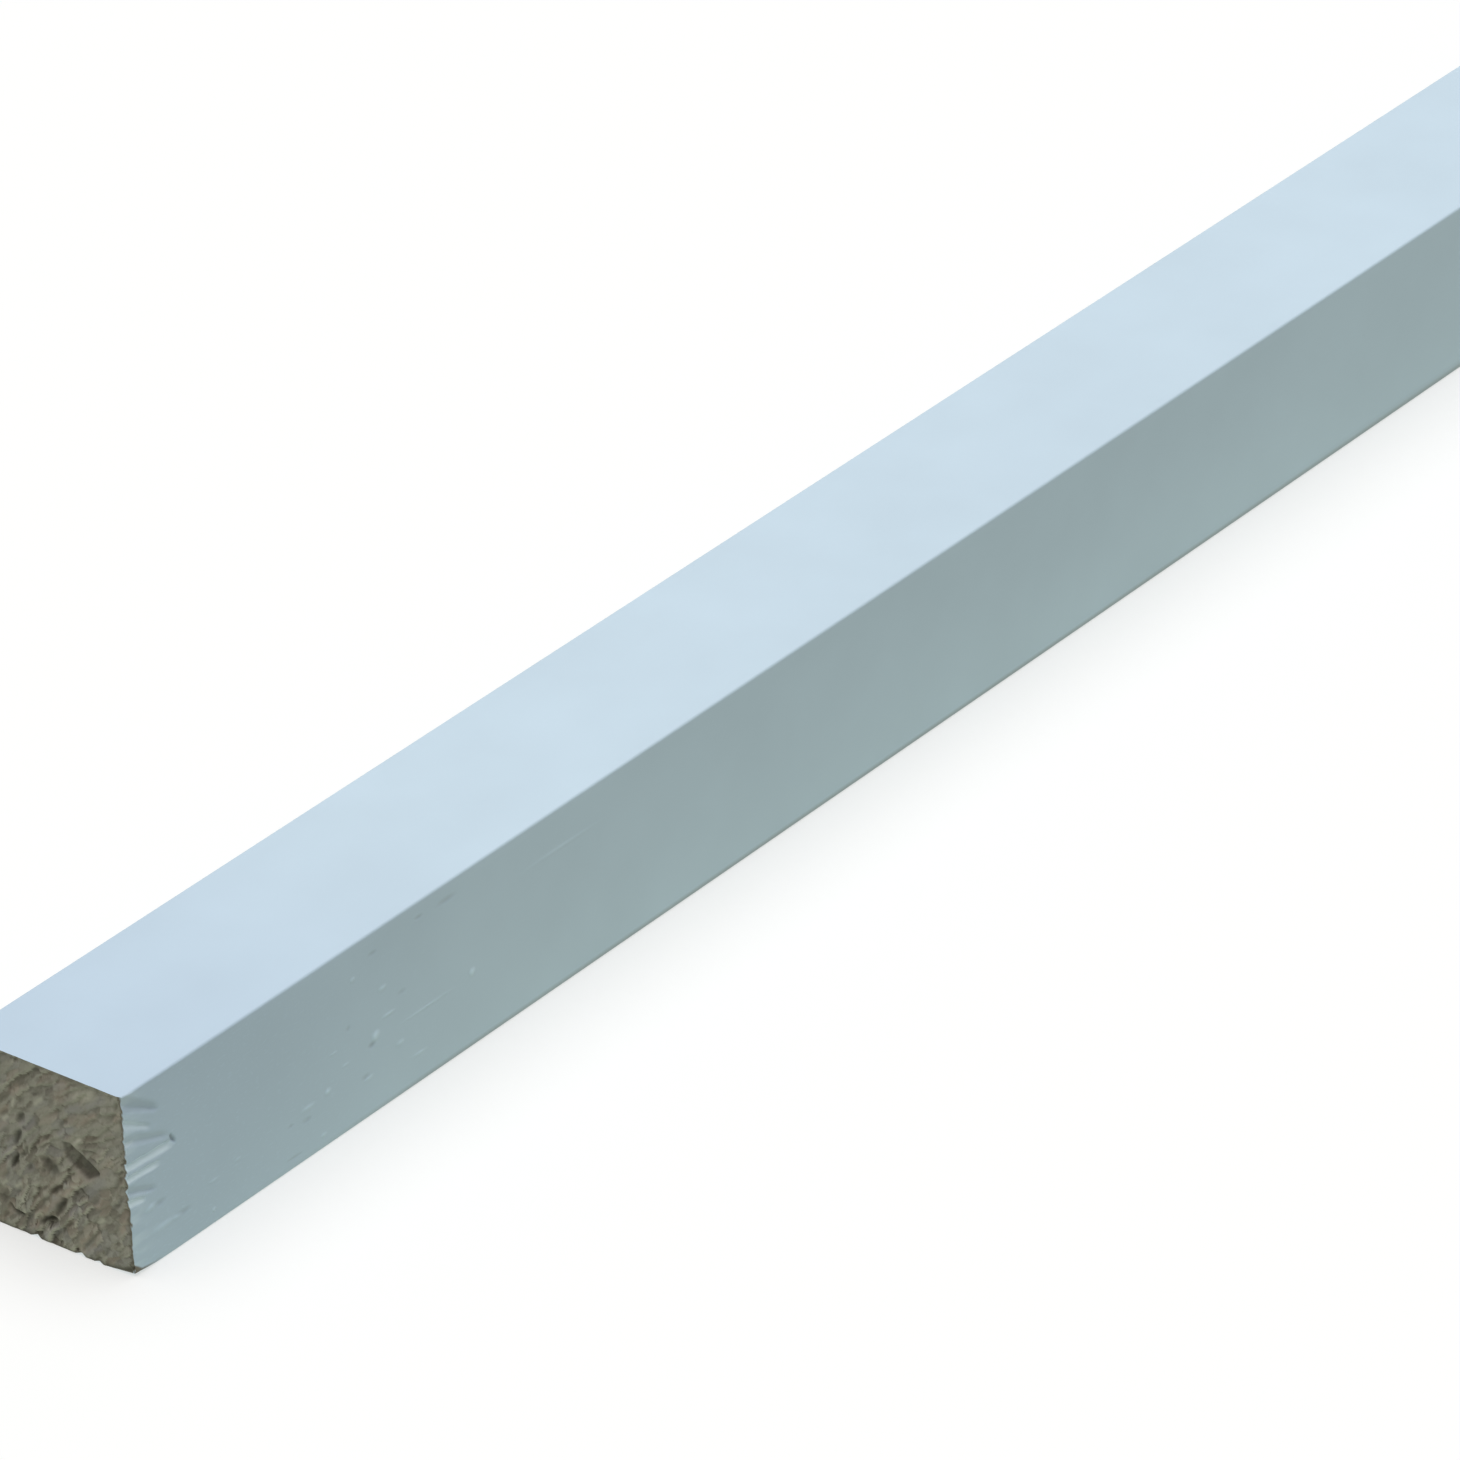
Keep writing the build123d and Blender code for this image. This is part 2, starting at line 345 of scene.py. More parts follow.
# Specks of dust under the paint, pinholes, and scratches along the grain: along, up, long, tall, height
FRONT_MARKS = [
    Mark(3.3, -3.8, 1.3, 0.6, 0.10),
    Mark(4.5, -3.9, 1.3, 0.5, -0.08),
    Mark(4.9, -6.7, 2.6, 0.6, 0.08),
    Mark(7.0, -6.8, 0.9, 0.4, 0.08),
    Mark(7.9, -6.7, 1.6, 0.5, -0.07),
    Mark(12.4, -8.8, 0.45, 0.4, 0.10),
    Mark(12.6, -5.5, 1.2, 0.3, 0.05),
    Mark(16.4, -5.0, 0.8, 0.3, 0.05),
    Mark(27.4, -4.6, 1.5, 0.5, 0.08),
    Mark(29.5, -8.9, 0.7, 0.4, 0.08),
    Mark(30.5, -4.3, 0.7, 0.55, 0.12),
    Mark(34.1, 1.3, 0.6, 0.5, -0.06),
    Mark(35.2, 6.5, 0.6, 0.45, 0.08),
    Mark(38.3, -1.6, 0.9, 0.8, 0.14),
    Mark(37.6, -2.4, 0.8, 0.5, -0.12),
    Mark(39.7, 3.3, 0.9, 0.5, 0.08),
    Mark(40.4, -0.1, 1.4, 0.35, 0.09),
    Mark(42.6, 1.4, 1.0, 0.4, -0.05),
    Mark(46.3, -2.2, 5.8, 0.3, 0.06),
    Mark(53.8, -1.8, 0.7, 0.7, 0.12),
    Mark(38.4, 8.0, 1.0, 0.4, -0.06),
    Mark(45.8, 8.6, 0.9, 0.35, -0.07),
    Mark(50.2, 8.5, 2.2, 0.5, -0.07),
    Mark(69.0, 5.8, 9.0, 0.4, 0.04),
    Mark(31.6, -0.4, 0.9, 0.25, 0.06),
    Mark(33.4, -2.6, 0.8, 0.3, 0.06),
    Mark(24.6, -5.4, 0.7, 0.3, -0.05),
    Mark(36.4, -5.6, 0.9, 0.45, -0.08),
    Mark(36.9, -5.9, 1.0, 0.4, 0.08),
    Mark(44.9, -7.0, 1.6, 0.35, 0.07),
    Mark(27.0, -5.9, 1.1, 0.45, -0.07),
    Mark(24.8, -9.2, 1.6, 0.3, -0.06),
    Mark(42.0, -4.3, 0.9, 0.5, 0.07),
]


def ease(x):
    """Rises from 0 to 1 with a soft start and end."""
    x = np.clip(x, 0, 1)
    return x * x * (3 - 2 * x)


def bell(x):
    """1 at 0, falling off softly on both sides."""
    return np.exp(-(x**2))


def at_least(low, share):
    """A share from 0 to 1, squeezed to run from low to 1."""
    return low + (1 - low) * share


class Bumps:
    """Smooth random heights between -1 and 1 over a plane, the same each time for one seed.

    They are about 1 apart, so a place in mm is divided by the size that they need there, and a whole
    number added to it picks another part of the same pattern.
    """

    CELLS = 97

    def __init__(self, seed):
        self.heights = np.random.default_rng(seed).uniform(-1, 1, (self.CELLS, self.CELLS))

    def __call__(self, a, b):
        i, j = np.floor(a).astype(int), np.floor(b).astype(int)
        s, t = ease(a - i), ease(b - j)
        corner = [[self.heights[(i + m) % self.CELLS, (j + n) % self.CELLS] for n in (0, 1)] for m in (0, 1)]
        near = corner[0][0] * (1 - s) + corner[1][0] * s
        far = corner[0][1] * (1 - s) + corner[1][1] * s
        return near * (1 - t) + far * t

    def rough(self, a, b, layers):
        """The same heights with finer and lower ones laid over them."""
        return sum(self(a * 2**k + 11 * k, b * 2**k + 7 * k) / 2**k for k in range(layers))


class Lump(NamedTuple):
    """The lump of fibre that each place lies in.

    relief is how far the place goes in, in mm. across is how far it lies from the lump's middle, as
    a share of the lump's width. height, tip_along and tip_across are the lump's own, from -1 to 1.
    gap is 0 where the next lump is as near.
    """

    relief: np.ndarray
    across: np.ndarray
    height: np.ndarray
    tip_along: np.ndarray
    tip_across: np.ndarray
    gap: np.ndarray


class Lumps:
    """Scattered long lumps of fibre, the same each time for one seed.

    wide and long are their size. slope is how far a lump falls back over its width, rise is how much
    lumps differ in height, and tip_along and tip_across are how much they tip either way. All are in mm.
    """

    CELLS = 61
    SCATTER = 0.45

    def __init__(self, seed, wide, long, slope, rise, tip_along, tip_across):
        self.random = np.random.default_rng(seed).uniform(-1, 1, (5, self.CELLS, self.CELLS))
        self.wide, self.long = wide, long
        self.slope, self.rise = slope, rise
        self.tip_along, self.tip_across = tip_along, tip_across

    def __call__(self, along, across):
        a, b = along / self.long, across / self.wide
        i, j = np.floor(a).astype(int), np.floor(b).astype(int)
        nearest = np.full(a.shape, np.inf)
        second = nearest.copy()
        found = np.zeros((5, *a.shape))
        for m in (-1, 0, 1):
            for n in (-1, 0, 1):
                traits = self.random[:, (i + m) % self.CELLS, (j + n) % self.CELLS]
                da = a - (i + m + 0.5 + self.SCATTER * traits[0])
                db = b - (j + n + 0.5 + self.SCATTER * traits[1])
                reach = np.hypot(da, db)
                closer = reach < nearest
                second = np.where(closer, nearest, np.minimum(second, reach))
                nearest = np.where(closer, reach, nearest)
                found = np.where(closer, np.stack([da, db, *traits[2:]]), found)
        da, db, height, tip_along, tip_across = found
        relief = self.slope * db + self.rise * height
        relief = relief + self.tip_along * tip_along * da + self.tip_across * tip_across * db
        return Lump(relief, db, height, tip_along, tip_across, second - nearest)


BUNDLES = Lumps(seed=5, wide=0.82, long=2.2, slope=0.55, rise=0.17, tip_along=0.4, tip_across=0.5)
SPLINTERS = Lumps(seed=9, wide=0.42, long=0.95, slope=0.08, rise=0.04, tip_along=0.06, tip_across=0.08)
WARP_A, WARP_B, COARSE, FIBRE, RIM, TONE = (Bumps(seed) for seed in (21, 22, 23, 24, 25, 26))

# Growth rings round a pith outside the stick, in front of it and below
PITH_ACROSS, PITH_UP = 36.0, -34.0
RING_SPACING = 1.45


def ring_place(across, up):
    """Each place's distance from the pith, and its distance round it, in mm."""
    radius = np.hypot(across - PITH_ACROSS, up - PITH_UP)
    middle = math.hypot(PITH_ACROSS, PITH_UP)
    return radius, middle * np.arctan2(up - PITH_UP, across - PITH_ACROSS)


class Grain(NamedTuple):
    """An end's relief in mm below its plane, and how strong each trait is at each place, 0 to 1. The
    crevices' trait is painted shade, and the crests' painted highlight with the paler upper wood.
    """

    depth: np.ndarray
    tone: np.ndarray
    crevice_shade: np.ndarray
    pale_and_highlight: np.ndarray
    rosy: np.ndarray
    slate: np.ndarray


def soften(heights, passes):
    """Evens out a grid of heights, each place with its four neighbours."""
    for _ in range(passes):
        wide = np.pad(heights, 1, mode="edge")
        four = wide[:-2, 1:-1] + wide[2:, 1:-1] + wide[1:-1, :-2] + wide[1:-1, 2:]
        heights = (heights + four / 4) / 2
    return heights


# A full crest stands this far out of the same relief softened by this many passes, in mm. Crests are drawn
# paler, a painted highlight.
CREST_RISE, CREST_PASSES = 0.3, 24


def crests(depth):
    """How far each place of a grid stands out from the places round it, from 0 to 1."""
    return np.clip((soften(depth, CREST_PASSES) - depth) / CREST_RISE, 0, 1)


def along_path(a, b, path):
    """For each place: how far it lies above a path of straight spans, and its share of the way."""
    lengths = [math.dist(start, end) for start, end in zip(path, path[1:])]
    nearest = np.full(np.shape(a), np.inf)
    above, share = nearest.copy(), nearest.copy()
    travelled = 0.0
    for start, end, length in zip(path, path[1:], lengths):
        run_a, run_b = (end[0] - start[0]) / length, (end[1] - start[1]) / length
        far_a, far_b = a - start[0], b - start[1]
        forward = np.clip(far_a * run_a + far_b * run_b, 0, length)
        reach = np.hypot(far_a - forward * run_a, far_b - forward * run_b)
        side = math.copysign(1, run_a) * (far_b * run_a - far_a * run_b)
        closer = reach < nearest
        nearest = np.where(closer, reach, nearest)
        above = np.where(closer, np.copysign(reach, side), above)
        share = np.where(closer, (travelled + forward) / sum(lengths), share)
        travelled += length
    return above, share


# The share of a gap's depth that lies straight in. The rest is undercut, and is drawn as painted shade.
GAP_SHOWN = 0.45

# How far a gap's steep upper side, the ramp below it and its painted shade reach, as shares of its
# width, and how deep the gaps with the darkest painted shade are and how narrow the ends of all are, in mm
GAP_WALL, GAP_RAMP, GAP_DARK = 0.3, 0.6, 0.36
DARKEST_DEPTH, NARROWEST = 1.26, 0.01


def gap_relief(a, b, gap):
    """How far one gap goes in at each place, and how dark it is drawn, a painted shade.

    Its upper side is steep, under the edge of a proud bundle, and its lower side is a ramp.
    """
    above, share = along_path(a, b, gap.path)
    swell = np.sqrt(np.clip(4 * share * (1 - share), 0, 1))
    width = np.maximum(gap.width * swell, NARROWEST)
    sunk = bell(above / (np.where(above > 0, GAP_WALL, GAP_RAMP) * width))
    dark = bell(above / (GAP_DARK * width))
    return GAP_SHOWN * gap.depth * swell * sunk, min(1, gap.depth / DARKEST_DEPTH) * swell * dark


# What a hollow has of its depth and of its painted shade away from its deepest place, and what part
# of its wall lies outside its outline, as shares. Then how far the deepest place and the calm strip
# along the outline reach, in mm.
HOLLOW_SHALLOW, HOLLOW_PALE, WALL_OUTSIDE = 0.45, 0.7, 0.4
DEEPEST_REACH, OUTLINE_REACH = 2.4, 0.6


def hollow_relief(a, b, hollow):
    """How far one hollow goes in at each place, how dark it is drawn, a painted shade, and how close its
    outline is.
    """
    inside = np.full(np.shape(a), np.inf)
    corners = hollow.corners
    for (start_a, start_b), (end_a, end_b) in zip(corners, corners[1:] + corners[:1]):
        run_a, run_b = end_a - start_a, end_b - start_b
        from_edge = (run_a * (b - start_b) - run_b * (a - start_a)) / math.hypot(run_a, run_b)
        inside = np.minimum(inside, from_edge)
    here = ease(inside / hollow.wall + WALL_OUTSIDE)
    near = bell(np.hypot(a - hollow.deepest[0], b - hollow.deepest[1]) / DEEPEST_REACH)
    sunk = hollow.depth * at_least(HOLLOW_SHALLOW, near) * here
    dark = hollow.dark * at_least(HOLLOW_PALE, near) * here
    return sunk, dark, bell(inside / OUTLINE_REACH)


def streaks_at(a, b, streaks):
    """How strong the nearest of some streaks is at each place."""
    strongest = np.zeros(np.shape(a))
    for streak in streaks:
        above, _ = along_path(a, b, (streak.start, streak.end))
        strongest = np.maximum(strongest, bell(2 * above / streak.width))
    return strongest


# How far the bundles and the rings sway out of line, and over what distance, in mm
BUNDLE_SWAY, BUNDLE_SWAY_OVER = 0.1, 0.7
RING_SWAY, RING_SWAY_OVER = 0.3, 2.3

# The end is torn most low down, and least high up by the back: the share of the tearing and of the
# splinters left there, the height above mid-height where it starts to grow and over which it does,
# and how much lower that lies for each mm towards the back
LEAST_TORN, LEAST_SPLINTERED = 0.6, 0.3
TORN_FROM, TORN_OVER, TORN_SLANT = 4.0, 9.0, 0.3

# Some patches broke off evenly: the share of relief left in them, their size in mm, and how sharply
# they differ from the rest
PATCH_LEAST, PATCH_SIZE, PATCH_CONTRAST = 0.2, 2.2, 1.3

# The lines at a bundle's foot and beside a splinter: how wide they are, as shares of a lump's size,
# how dark they are drawn, a painted shade, and how deep a foot is, in mm
FOOT_LINE, NICK_LINE = 0.11, 0.15
FOOT_DARK, NICK_DARK = 0.79, 0.33
FOOT_DEPTH = 0.1

# How much calmer the relief is along a hollow's outline, as a share
OUTLINE_CALM = 0.8

# Height and size of the fibres' own roughness, in mm. Single fibres are finer than a mesh cell, so
# these are tufts of them.
FIBRE_HEIGHT, FIBRE_LONG, FIBRE_WIDE = 0.015, 0.5, 0.25

# How deep the torn wood lies below the saw cut, on average and at least, in mm, and how many passes
# round it off
MEAN_DEPTH, LEAST_DEPTH = 0.15, 0.01
ROUNDING_PASSES = 3

# How pale whole wood is, from 0 to 1, how much less torn wood is, and how much that differs with a
# lump's height and with its tip
TONE_WHOLE, TONE_TORN, TONE_HEIGHT, TONE_TIP = 0.6, 0.3, 0.25, 0.15

# Bundles are tinted by their tip: how pink and how grey at most, from what tip on, and over how
# much more
BUNDLE_ROSY, BUNDLE_SLATE = 0.45, 0.5
TINT_FROM, TINT_OVER = 0.25, 0.625

# The upper wood by the front face is paler: how much, from how far towards that face and over what
# distance, and from how far below mid-height, in mm
PALE_SHARE, PALE_FROM, PALE_OVER, PALE_BELOW = 0.33, 5.0, 5.0, 4.0

# The rim of a saw cut: how wide it is, how ragged it is at the front, how deep and how ragged it is
# below, and how the relief dies out towards it, in mm and as a share
RIM_WIDTH, FRONT_RAGGED, LOW_BROKEN, LOW_RAGGED = 0.4, 0.03, 0.03, 0.05
RIM_FADE, RIM_SHARE = 0.5, 0.05

# The broken lower front corner of the torn end: how far in from both faces its curve is centred, how
# far out from there the break and its painted shade start and over what distance, how deep it is, all
# in mm, and how dark its painted shade is
BREAK_CENTRE, BREAK_FROM, BREAK_OVER, BREAK_DEPTH = 1.4, 0.7, 1.1, 0.4
BREAK_DARK_FROM, BREAK_DARK_OVER, BREAK_DARK = 0.8, 0.7, 0.72


def sway(across, up, reach, over, layers=1):
    """How far the grain wanders aside and up at each place, in mm."""
    place = across / over, up / over
    return reach * WARP_A.rough(*place, layers), reach * WARP_B.rough(*place, layers)


def torn_bundles(arc, radius, rough, strength):
    """The torn bundles and their splinters: their relief in mm, how dark their feet and nicks are
    drawn, a painted shade, how pale they are, and which way they tip."""
    torn, splintered = at_least(LEAST_TORN, rough), at_least(LEAST_SPLINTERED, rough)
    bundle, splinter = BUNDLES(arc, radius), SPLINTERS(arc, radius)
    # A bundle is proud along its lower edge and slopes back to the foot of the one above it. Its foot
    # and a splinter's nick run along the upper side alone, where across is positive.
    foot = bell(bundle.gap / FOOT_LINE) * ease(0.2 + 3 * bundle.across)
    nick = bell(splinter.gap / NICK_LINE) * ease(0.5 + 3 * splinter.across) * ease(0.5 + splinter.tip_along)
    relief = bundle.relief + FOOT_DEPTH * foot + splintered * splinter.relief
    fibre = FIBRE_HEIGHT * FIBRE.rough(arc / FIBRE_LONG, radius / FIBRE_WIDE, 2)
    dark = strength * np.maximum(FOOT_DARK * torn * foot, NICK_DARK * splintered * nick)
    tone = TONE_WHOLE - TONE_TORN * torn - TONE_HEIGHT * (bundle.height + splinter.height)
    tone = np.clip(tone + TONE_TIP * bundle.tip_along, 0, 1)
    return MEAN_DEPTH + strength * relief + fibre, dark, tone, bundle.tip_across


def rim_wear(across, up, half_width, half_height):
    """How far the torn end's rim is broken away, in mm, and how dark its lower front corner is drawn, a
    painted shade.
    """
    front = (across > 0) * ease(1 - (half_width - np.abs(across)) / RIM_WIDTH)
    low = (up < 0) * ease(1 - (half_height - np.abs(up)) / RIM_WIDTH)
    front_wear = FRONT_RAGGED * RIM.rough(up / 1.7, 0 * up, 2) * front
    low_wear = (LOW_BROKEN + LOW_RAGGED * RIM.rough(across / 1.4, 0 * up + 5, 2)) * low
    corner = np.hypot(
        np.clip(across - half_width + BREAK_CENTRE, 0, None),
        np.clip(-up - half_height + BREAK_CENTRE, 0, None),
    )
    wear = LEAST_DEPTH + np.clip(front_wear, 0, None) + np.clip(low_wear, 0, None)
    wear = wear + BREAK_DEPTH * ease((corner - BREAK_FROM) / BREAK_OVER)
    return wear, BREAK_DARK * ease((corner - BREAK_DARK_FROM) / BREAK_DARK_OVER)


def torn_end(across, up, half_width, half_height):
    """The torn saw cut: rings in steps, bundles like leaning plates, and the gaps between them."""
    aside, rise = sway(across, up, BUNDLE_SWAY, BUNDLE_SWAY_OVER, 3)
    a, b = across + aside, up + rise
    ring_aside, ring_rise = sway(across, up, RING_SWAY, RING_SWAY_OVER)
    radius, arc = ring_place(a + ring_aside, b + ring_rise)
    rough = ease((TORN_FROM - up + TORN_SLANT * across) / TORN_OVER)
    patch = ease(0.5 + PATCH_CONTRAST * COARSE(across / PATCH_SIZE, up / PATCH_SIZE))
    strength = at_least(LEAST_TORN, rough) * at_least(PATCH_LEAST, patch)

    # The gaps and streaks sway with the bundles, and the hollows don't
    inward, height = half_width - a - SUNK_SHIFT, b + half_height + SUNK_SHIFT
    straight = half_width - across - SUNK_SHIFT, up + half_height + SUNK_SHIFT
    gaps = [gap_relief(inward, height, gap) for gap in END_GAPS]
    hollows = [hollow_relief(*straight, hollow) for hollow in END_HOLLOWS]
    strength = strength * (1 - OUTLINE_CALM * np.max([outline for _, _, outline in hollows], axis=0))
    depth, crevice_shade, tone, tip = torn_bundles(arc, radius, rough, strength)

    # Painted highlight on the crests and the pale patches, with the paler upper wood by the front face
    pale_and_highlight = np.maximum(crests(depth), streaks_at(inward, height, PALE_STREAKS))
    pale = ease((across - PALE_FROM) / PALE_OVER) * ease((up + PALE_BELOW) / PALE_BELOW)
    pale_and_highlight = np.maximum(pale_and_highlight, PALE_SHARE * pale)
    depth += np.max([sunk for sunk, _ in gaps], axis=0)
    # Painted shade in the gaps, the hollows and the lines at the bundles' feet
    crevice_shade = np.max([crevice_shade, *[dark for _, dark in gaps], *[dark for _, dark, _ in hollows]], axis=0)
    depth += sum(sunk for sunk, _, _ in hollows)

    wear, corner_dark = rim_wear(across, up, half_width, half_height)
    to_rim = np.minimum(half_width - np.abs(across), half_height - np.abs(up))
    depth = np.clip(depth, LEAST_DEPTH, None) * at_least(RIM_SHARE, ease(to_rim / RIM_FADE)) + wear
    # Painted shade in the broken lower front corner too
    crevice_shade = np.clip(np.maximum(crevice_shade, corner_dark), 0, 1)
    tint_rosy, tint_slate = (ease((lean - TINT_FROM) / TINT_OVER) for lean in (tip, -tip))
    rosy = np.maximum(streaks_at(inward, height, ROSY_STREAKS), BUNDLE_ROSY * tint_rosy)
    slate = np.maximum(streaks_at(inward, height, SLATE_STREAKS), BUNDLE_SLATE * tint_slate)
    return Grain(soften(depth, ROUNDING_PASSES), tone, crevice_shade, pale_and_highlight, rosy, slate)


# Relief of the clean sawn end, in mm: how deep it lies at least, the ridges of its rings and fibres,
# how much its rim is rounded, and how deep its places with the darkest painted shade are. Then how far
# its rings sway, as a share of their spacing, and the tone of its wood.
CLEAN_LEAST, CLEAN_RINGS, CLEAN_FIBRES = 0.05, 0.03, 0.02
CLEAN_RIM, CLEAN_DARKEST = 0.12, 0.3
CLEAN_SWAY, CLEAN_TONE = 0.25, 0.5


def clean_end(across, up, half_width, half_height):
    """The other saw cut: only the low ridges of the rings and fibres, and a rounded rim."""
    ring = ring_place(across, up)[0] / RING_SPACING + CLEAN_SWAY * WARP_A(across / 2, up / 2)
    ridges = CLEAN_RINGS * np.abs((ring % 1) * 2 - 1) + CLEAN_FIBRES * FIBRE.rough(across / 0.4, up / 0.4, 2)
    to_rim = np.minimum(half_width - np.abs(across), half_height - np.abs(up))
    depth = np.clip(CLEAN_LEAST + ridges + CLEAN_RIM * ease(1 - to_rim / RIM_WIDTH), 0, None)
    # Painted shade: deeper places are drawn darker. Painted highlight: the crests are drawn paler.
    crevice_shade = np.clip((depth - CLEAN_LEAST) / CLEAN_DARKEST, 0, 1)
    tint = TONE(across / 2.5, up / 2.5)
    tone = np.full(up.shape, CLEAN_TONE)
    return Grain(depth, tone, crevice_shade, crests(depth), np.clip(tint, 0, 1), np.clip(-tint, 0, 1))


# How near a groove's deepest line may come to its side, the share of its run over which it ends, and
# the share of its depth at which its chalky paint, painted highlight and painted shade are full
ROOT_LIMIT, BLUNT_SHARE, BARE_FROM = 0.9, 0.22, 0.3


def groove(along, place, tear):
    """How deep one torn splinter's groove is at each place, how chalky and pale it is, partly a painted
    highlight, and how much painted shade it has.
    """
    share = np.clip(along / tear.run, 0, 1)
    half = (tear.mouth + (tear.tip - tear.mouth) * share) / 2
    aside = place - (tear.place + tear.drift * share)
    root = np.clip(tear.root, -ROOT_LIMIT * half, ROOT_LIMIT * half)
    wall = np.minimum((aside + half) / (half + root), (half - aside) / (half - root))
    blunt = ease((1 - along / tear.run) / BLUNT_SHARE)
    shown = blunt * ease(wall / BARE_FROM)
    return tear.depth * blunt * np.clip(wall, 0, 1), tear.chalk_and_highlight * shown, tear.groove_shade * shown


# The front face beside the cut, in mm: how far the grooves waver, how uneven the face is and how far
# along, and how far the paint is broken back, on average, at most and in how soft a line
WAVER = 0.06
UNEVEN_HEIGHT, UNEVEN_RUN = 0.03, 9.0
BROKEN_BACK, BROKEN_VARIES, BROKEN_BLUR = 0.02, 0.06, 0.2

# The wood bared along the lower front edge, in mm: how high, how much higher at the cut and over
# what run, how much that varies, and how soft its upper border is
BARED_HIGH, BARED_AT_CUT, BARED_CUT_RUN = 0.42, 0.75, 1.5
BARED_VARIES, BARED_BLUR = 0.12, 0.25

# How chalky the paint is at the cut and how far along in mm, and how much of the unpainted wood's dark
# colour the dent has, a painted shade
CHALK_SHARE, CHALK_RUN = 0.35, 4.0
DENT_SHADE = 0.7


def beside_cut(along):
    """Falls from 1 at the cut to 0 just past the end of the worn corner."""
    return ease(1.1 - along / CORNER_RUN)


def front_relief(along, up, half_height):
    """How far the front face lies below its plane, in mm, how chalky and pale it is, partly a painted
    highlight, and how much of the unpainted wood's colour it has, a painted shade in the grooves and the
    dent.
    """
    wavy = up + WAVER * WARP_A(along / 1.4, up / 0.7)
    sunk, chalk_and_highlight, groove_shade = np.max([groove(along, wavy, tear) for tear in FRONT_TEARS], axis=0)
    dent, dent_shade = gap_relief(along, up + half_height, FRONT_DENT)
    uneven = UNEVEN_HEIGHT * (1 + FIBRE.rough(along / 2.2, up / 0.8, 2)) * ease(1 - along / UNEVEN_RUN)
    broken = BROKEN_BACK + BROKEN_VARIES * RIM.rough(up / 0.9, 0 * up + 9, 2)
    for chip in FRONT_CHIPS:
        broken = broken + chip.reach * bell((up - chip.up) / (chip.tall / 2))
    bared_to = BARED_HIGH + BARED_AT_CUT * ease(1 - along / BARED_CUT_RUN)
    bared_to = bared_to + BARED_VARIES * COARSE(along / 0.8, 0 * up)
    bared = ease((bared_to - up - half_height) / BARED_BLUR + 0.5) * beside_cut(along)
    chalk = ease(1 - along / CHALK_RUN) * ease(0.5 + RIM.rough(up / 0.8, along / 3 + 20, 2))
    # The wood shows at the paint's broken edge and along the lower edge beside the cut; in the grooves and
    # the dent its dark colour is painted shade
    return (
        sunk + dent + np.clip(uneven, 0, None),
        np.maximum(chalk_and_highlight, CHALK_SHARE * chalk) * (1 - dent_shade),
        np.max([ease((broken - along) / BROKEN_BLUR), bared, groove_shade, DENT_SHADE * dent_shade], axis=0),
    )


def bottom_relief(along, across):
    """How far the bottom face lies below its plane, in mm."""
    return np.max([groove(along, across, tear)[0] for tear in BOTTOM_TEARS], axis=0)


def lower_edge_dark(along, up, half_height):
    """How much of the unpainted wood's colour darkens the lower front edge."""
    top = EDGE_DARK * (1 + np.minimum(along, EDGE_DARK_TO) / EDGE_DARK_SPREAD)
    edge_dark = ease(0.5 - (up + half_height - top) / EDGE_DARK_BLUR)
    return EDGE_DARK_SHARE * edge_dark * ease((along - EDGE_DARK_FROM) / EDGE_DARK_START)


def corner_lift(along, across, up, half_width, half_height):
    """How far the worn lower front corner draws each place of the section up, in mm."""
    fallen = (ease(along / CORNER_RUN) + ease(along / CORNER_TIP)) / 2
    inward = np.clip(1 - (half_width - across) / CORNER_IN, 0, 1)
    low = 1 - ease((up + half_height) / CORNER_UP)
    return CORNER_RISE * (1 - fallen) * inward * low


def grid_lines(span, arris, arris_cells, flat_cells):
    """Lines across one side of the section, closer together over the eased edges."""
    half = span / 2
    edge = np.arange(arris_cells) * arris / arris_cells
    flat = np.linspace(-half + arris, half - arris, flat_cells + 1)
    return np.concatenate([-half + edge, flat, half - edge[::-1]])


def round_corners(across, up, half_width, half_height, arris):
    """Bends the corners of a square grid onto the section's eased edges."""
    a = np.clip(np.abs(across) - half_width + arris, 0, None) / arris
    b = np.clip(np.abs(up) - half_height + arris, 0, None) / arris
    flat_a = np.minimum(np.abs(across), half_width - arris)
    flat_b = np.minimum(np.abs(up), half_height - arris)
    return (
        np.sign(across) * (flat_a + arris * a * np.sqrt(1 - b**2 / 2)),
        np.sign(up) * (flat_b + arris * b * np.sqrt(1 - a**2 / 2)),
    )


